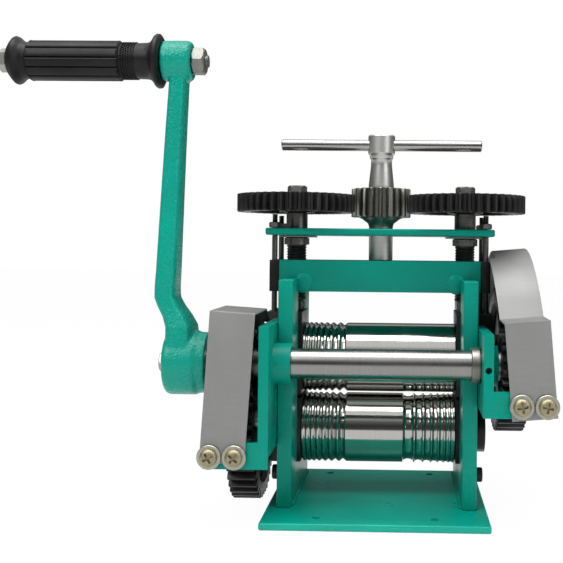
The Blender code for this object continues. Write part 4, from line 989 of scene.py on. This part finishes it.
# ---- T-handle ----
# A turned spindle through the plate with a cross bar pushed through its head.
SPINDLE_STEEL = bright_steel("spindle_steel", (0.58, 0.58, 0.56), (0.64, 0.64, 0.62), 0.4, (60, 60, 1500), 0.0000008)
BAR_STEEL = bright_steel("bar_steel", (0.38, 0.373, 0.365), (0.41, 0.403, 0.395), 0.2, (1300, 20, 20), 0.0000002)
spin_bottom, spin_top, spindle_at = extent("handle_spindle", "Z")
bar_z = centre("handle_bar").z
pinion_bottom, pinion_top, _ = extent("handle_pinion", "Z")
bar_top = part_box("crossbar")[1].z
spindle_profile = [(spin_bottom, 6), (bar_top + 0.3 * MM, 6), (bar_top + 0.3 * MM, 8.8),
                   (pinion_bottom - 7 * MM, 8.8), (pinion_bottom - 4.5 * MM, 9.6), (pinion_bottom - 1.5 * MM, 13.6),
                   (pinion_bottom - 0.3 * MM, 16), (pinion_bottom - 0.3 * MM, 9.1), (pinion_top + 0.3 * MM, 9.1),
                   (pinion_top + 2 * MM, 9.4), (bar_z - 15 * MM, 7.8), (bar_z - 10.5 * MM, 7.7),
                   (bar_z - 10 * MM, 8.6), (bar_z - 7.8 * MM, 8.6), (bar_z - 6 * MM, 9.9), (bar_z - 5.2 * MM, 9.9),
                   (spin_top - 1.7 * MM, 9.9), (spin_top - 0.9 * MM, 9.9), (spin_top, 9.0)]
spindle = turned("spindle_turned", capped(softened([(z, r * MM) for z, r in spindle_profile], 0.3 * MM)), "Z",
                 spindle_at, SPINDLE_STEEL, 96)
combine(spindle, [round_cutter("bar_bore", 4.45 * MM, -30 * MM, 30 * MM, (0, spindle_at.y, bar_z), "X")])
place_on(spindle, "t_handle", "machined_steel", "handle_spindle")
tee_left, tee_right, _ = extent("handle_bar", "X")
tee_profile = [(tee_left, 3.4 * MM), (tee_left + 0.75 * MM, 4.15 * MM), (tee_right - 0.75 * MM, 4.15 * MM),
               (tee_right, 3.4 * MM)]
tee = turned("cross_bar_turned", capped(tee_profile), "X", (0, spindle_at.y, bar_z), BAR_STEEL, 64)
place_on(tee, "t_handle", "polished_steel", "handle_bar")

# ---- small frame fasteners ----
# Socket cap screws low on each cheek, the idler's pin and the set screw in the right bracket.
for side, sign in (("left", -1), ("right", 1)):
    node = "foot_bolt_" + side
    start, end, at = extent(node, "X")
    inner, outer = (end, start) if sign < 0 else (start, end)
    rim = outer - sign * 0.6 * MM
    profile = [(inner, 5 * MM), (rim, 5 * MM), (outer, 4.4 * MM), (outer, 2.6 * MM),
               (outer - sign * 2.4 * MM, 2.4 * MM)]
    place_on(turned(node + "_cap", capped(profile), "X", at, GEAR_BLACK, 48), "frame", "black_steel", node)
pin_left, pin_right, pin_at = extent("idler_pin", "X")
pin_profile = [(pin_left, 8.2 * MM), (pin_left + 0.8 * MM, 9 * MM), (-104.3 * MM, 9 * MM), (-104.3 * MM, 6 * MM),
               (pin_right, 6 * MM)]
pin = turned("idler_pin_turned", capped(pin_profile), "X", pin_at, KEEPER_STEEL, 48)
place_on(pin, "frame", "machined_steel", "idler_pin")
grub_front, grub_back, grub_at = extent("grub_screw", "Y")
grub_profile = [(grub_front + 1.6 * MM, 1.0 * MM), (grub_front, 1.1 * MM), (grub_front, 1.7 * MM),
                (grub_front + 0.2 * MM, 1.9 * MM), (grub_back, 1.9 * MM)]
grub = turned("grub_turned", capped(grub_profile), "Y", grub_at, GEAR_BLACK, 32)
place_on(grub, "frame", "black_steel", "grub_screw")

# ---- studio ----
# A white floor and surround, soft lamps, and a dark band that only reflections see.
floor_bm = bmesh.new()
bmesh.ops.create_grid(floor_bm, x_segments=1, y_segments=1, size=6)
FLOOR, new, link, bsdf = shader("studio_floor", 0.9, 0.0)
bsdf.inputs["Base Color"].default_value = (1, 1, 1, 1)
glow, blend, path = new("ShaderNodeEmission"), new("ShaderNodeMixShader"), new("ShaderNodeLightPath")
rays = maths(new, link, "ADD", path.outputs["Is Glossy Ray"], path.outputs["Is Transmission Ray"], clamp=True)
# Seen directly, the floor keeps a small share of its shading, so that the shadow stays.
share = maths(new, link, "MULTIPLY_ADD", path.outputs["Is Camera Ray"], 0.97, rays, clamp=True)
link(share, blend.inputs["Fac"])
link(bsdf.outputs["BSDF"], blend.inputs[1])
link(glow.outputs["Emission"], blend.inputs[2])
link(blend.outputs["Shader"], FLOOR.node_tree.nodes["Material Output"].inputs["Surface"])
floor = shown("studio_floor", floor_bm, FLOOR)


def dark_surround(radius, low, high, stops):
    """Walls that show only in gloss: dark at the height of the mill, paler towards the lamps."""
    bm = bmesh.new()
    skinned(bm, [[bm.verts.new((*on_circle(radius, 2 * math.pi * k / 64), z)) for k in range(64)]
                 for z in (low, high)])
    mat = bpy.data.materials.new("dark_surround")
    mat.use_nodes = True
    new, link = mat.node_tree.nodes.new, mat.node_tree.links.new
    place, split = new("ShaderNodeTexCoord"), new("ShaderNodeSeparateXYZ")
    link(place.outputs["Object"], split.inputs["Vector"])
    height = maths(new, link, "MULTIPLY", split.outputs["Z"], 1 / high)
    glow = new("ShaderNodeEmission")
    link(ramp(new, link, height, stops), glow.inputs["Color"])
    link(glow.outputs["Emission"], mat.node_tree.nodes["Material Output"].inputs["Surface"])
    walls = shown("dark_surround", bm, mat)
    walls.visible_camera = False
    walls.visible_diffuse = False
    walls.visible_shadow = False


dark_surround(3.0, -0.05, 2.6, ((0.0, grey(0.1)), (0.3, grey(0.055)), (0.62, grey(0.2)), (1.0, grey(0.8))))

world = bpy.data.worlds.new("studio_world")
bpy.context.scene.world = world
world.use_nodes = True
tree = world.node_tree
new, link = tree.nodes.new, tree.links.new
plain = tree.nodes["Background"]
plain.inputs["Color"].default_value = (1, 1, 1, 1)
plain.inputs["Strength"].default_value = 0.55
white, choose, path = new("ShaderNodeBackground"), new("ShaderNodeMixShader"), new("ShaderNodeLightPath")
white.inputs["Color"].default_value = (1, 1, 1, 1)
seen = maths(new, link, "ADD", path.outputs["Is Camera Ray"], path.outputs["Is Glossy Ray"], clamp=True)
seen = maths(new, link, "ADD", seen, path.outputs["Is Transmission Ray"], clamp=True)
link(seen, choose.inputs["Fac"])
link(plain.outputs["Background"], choose.inputs[1])
link(white.outputs["Background"], choose.inputs[2])
link(choose.outputs["Shader"], tree.nodes["World Output"].inputs["Surface"])


def soft_lamp(name, place, aim, size, power):
    data = bpy.data.lights.new(name, "AREA")
    data.shape = "RECTANGLE"
    data.size, data.size_y = size
    data.energy = power
    lamp = bpy.data.objects.new(name, data)
    lamp.location = place
    lamp.rotation_euler = (Vector(aim) - Vector(place)).to_track_quat("-Z", "Y").to_euler()
    bpy.context.scene.collection.objects.link(lamp)


soft_lamp("key_lamp", (-0.9, -1.2, 1.4), (0, 0, 0.12), (0.9, 0.9), 13)
soft_lamp("fill_lamp", (1.3, -1.1, 0.8), (0, 0, 0.12), (0.8, 1.0), 6)
soft_lamp("top_lamp", (0, -0.25, 1.7), (0, 0, 0.1), (1.6, 1.0), 26)

# ---- camera ----
# A short telephoto at the height of the lift plate, looking almost straight along the mill.
YAW, TILT_ROUND_VIEW = 0.021, -0.010
camera_data = bpy.data.cameras.new("camera")
camera_data.lens = 59.43
camera_data.shift_x, camera_data.shift_y = -0.1805, -0.0601
camera = bpy.data.objects.new("camera", camera_data)
camera.matrix_world = (Matrix.Translation((16.2 * MM, -669.6 * MM, 182.6 * MM)) @ Matrix.Rotation(YAW, 4, "Z")
                       @ Matrix.Rotation(math.pi / 2, 4, "X") @ Matrix.Rotation(-TILT_ROUND_VIEW, 4, "Z"))
bpy.context.scene.collection.objects.link(camera)
bpy.context.scene.camera = camera
bpy.context.scene.view_settings.view_transform = "Standard"
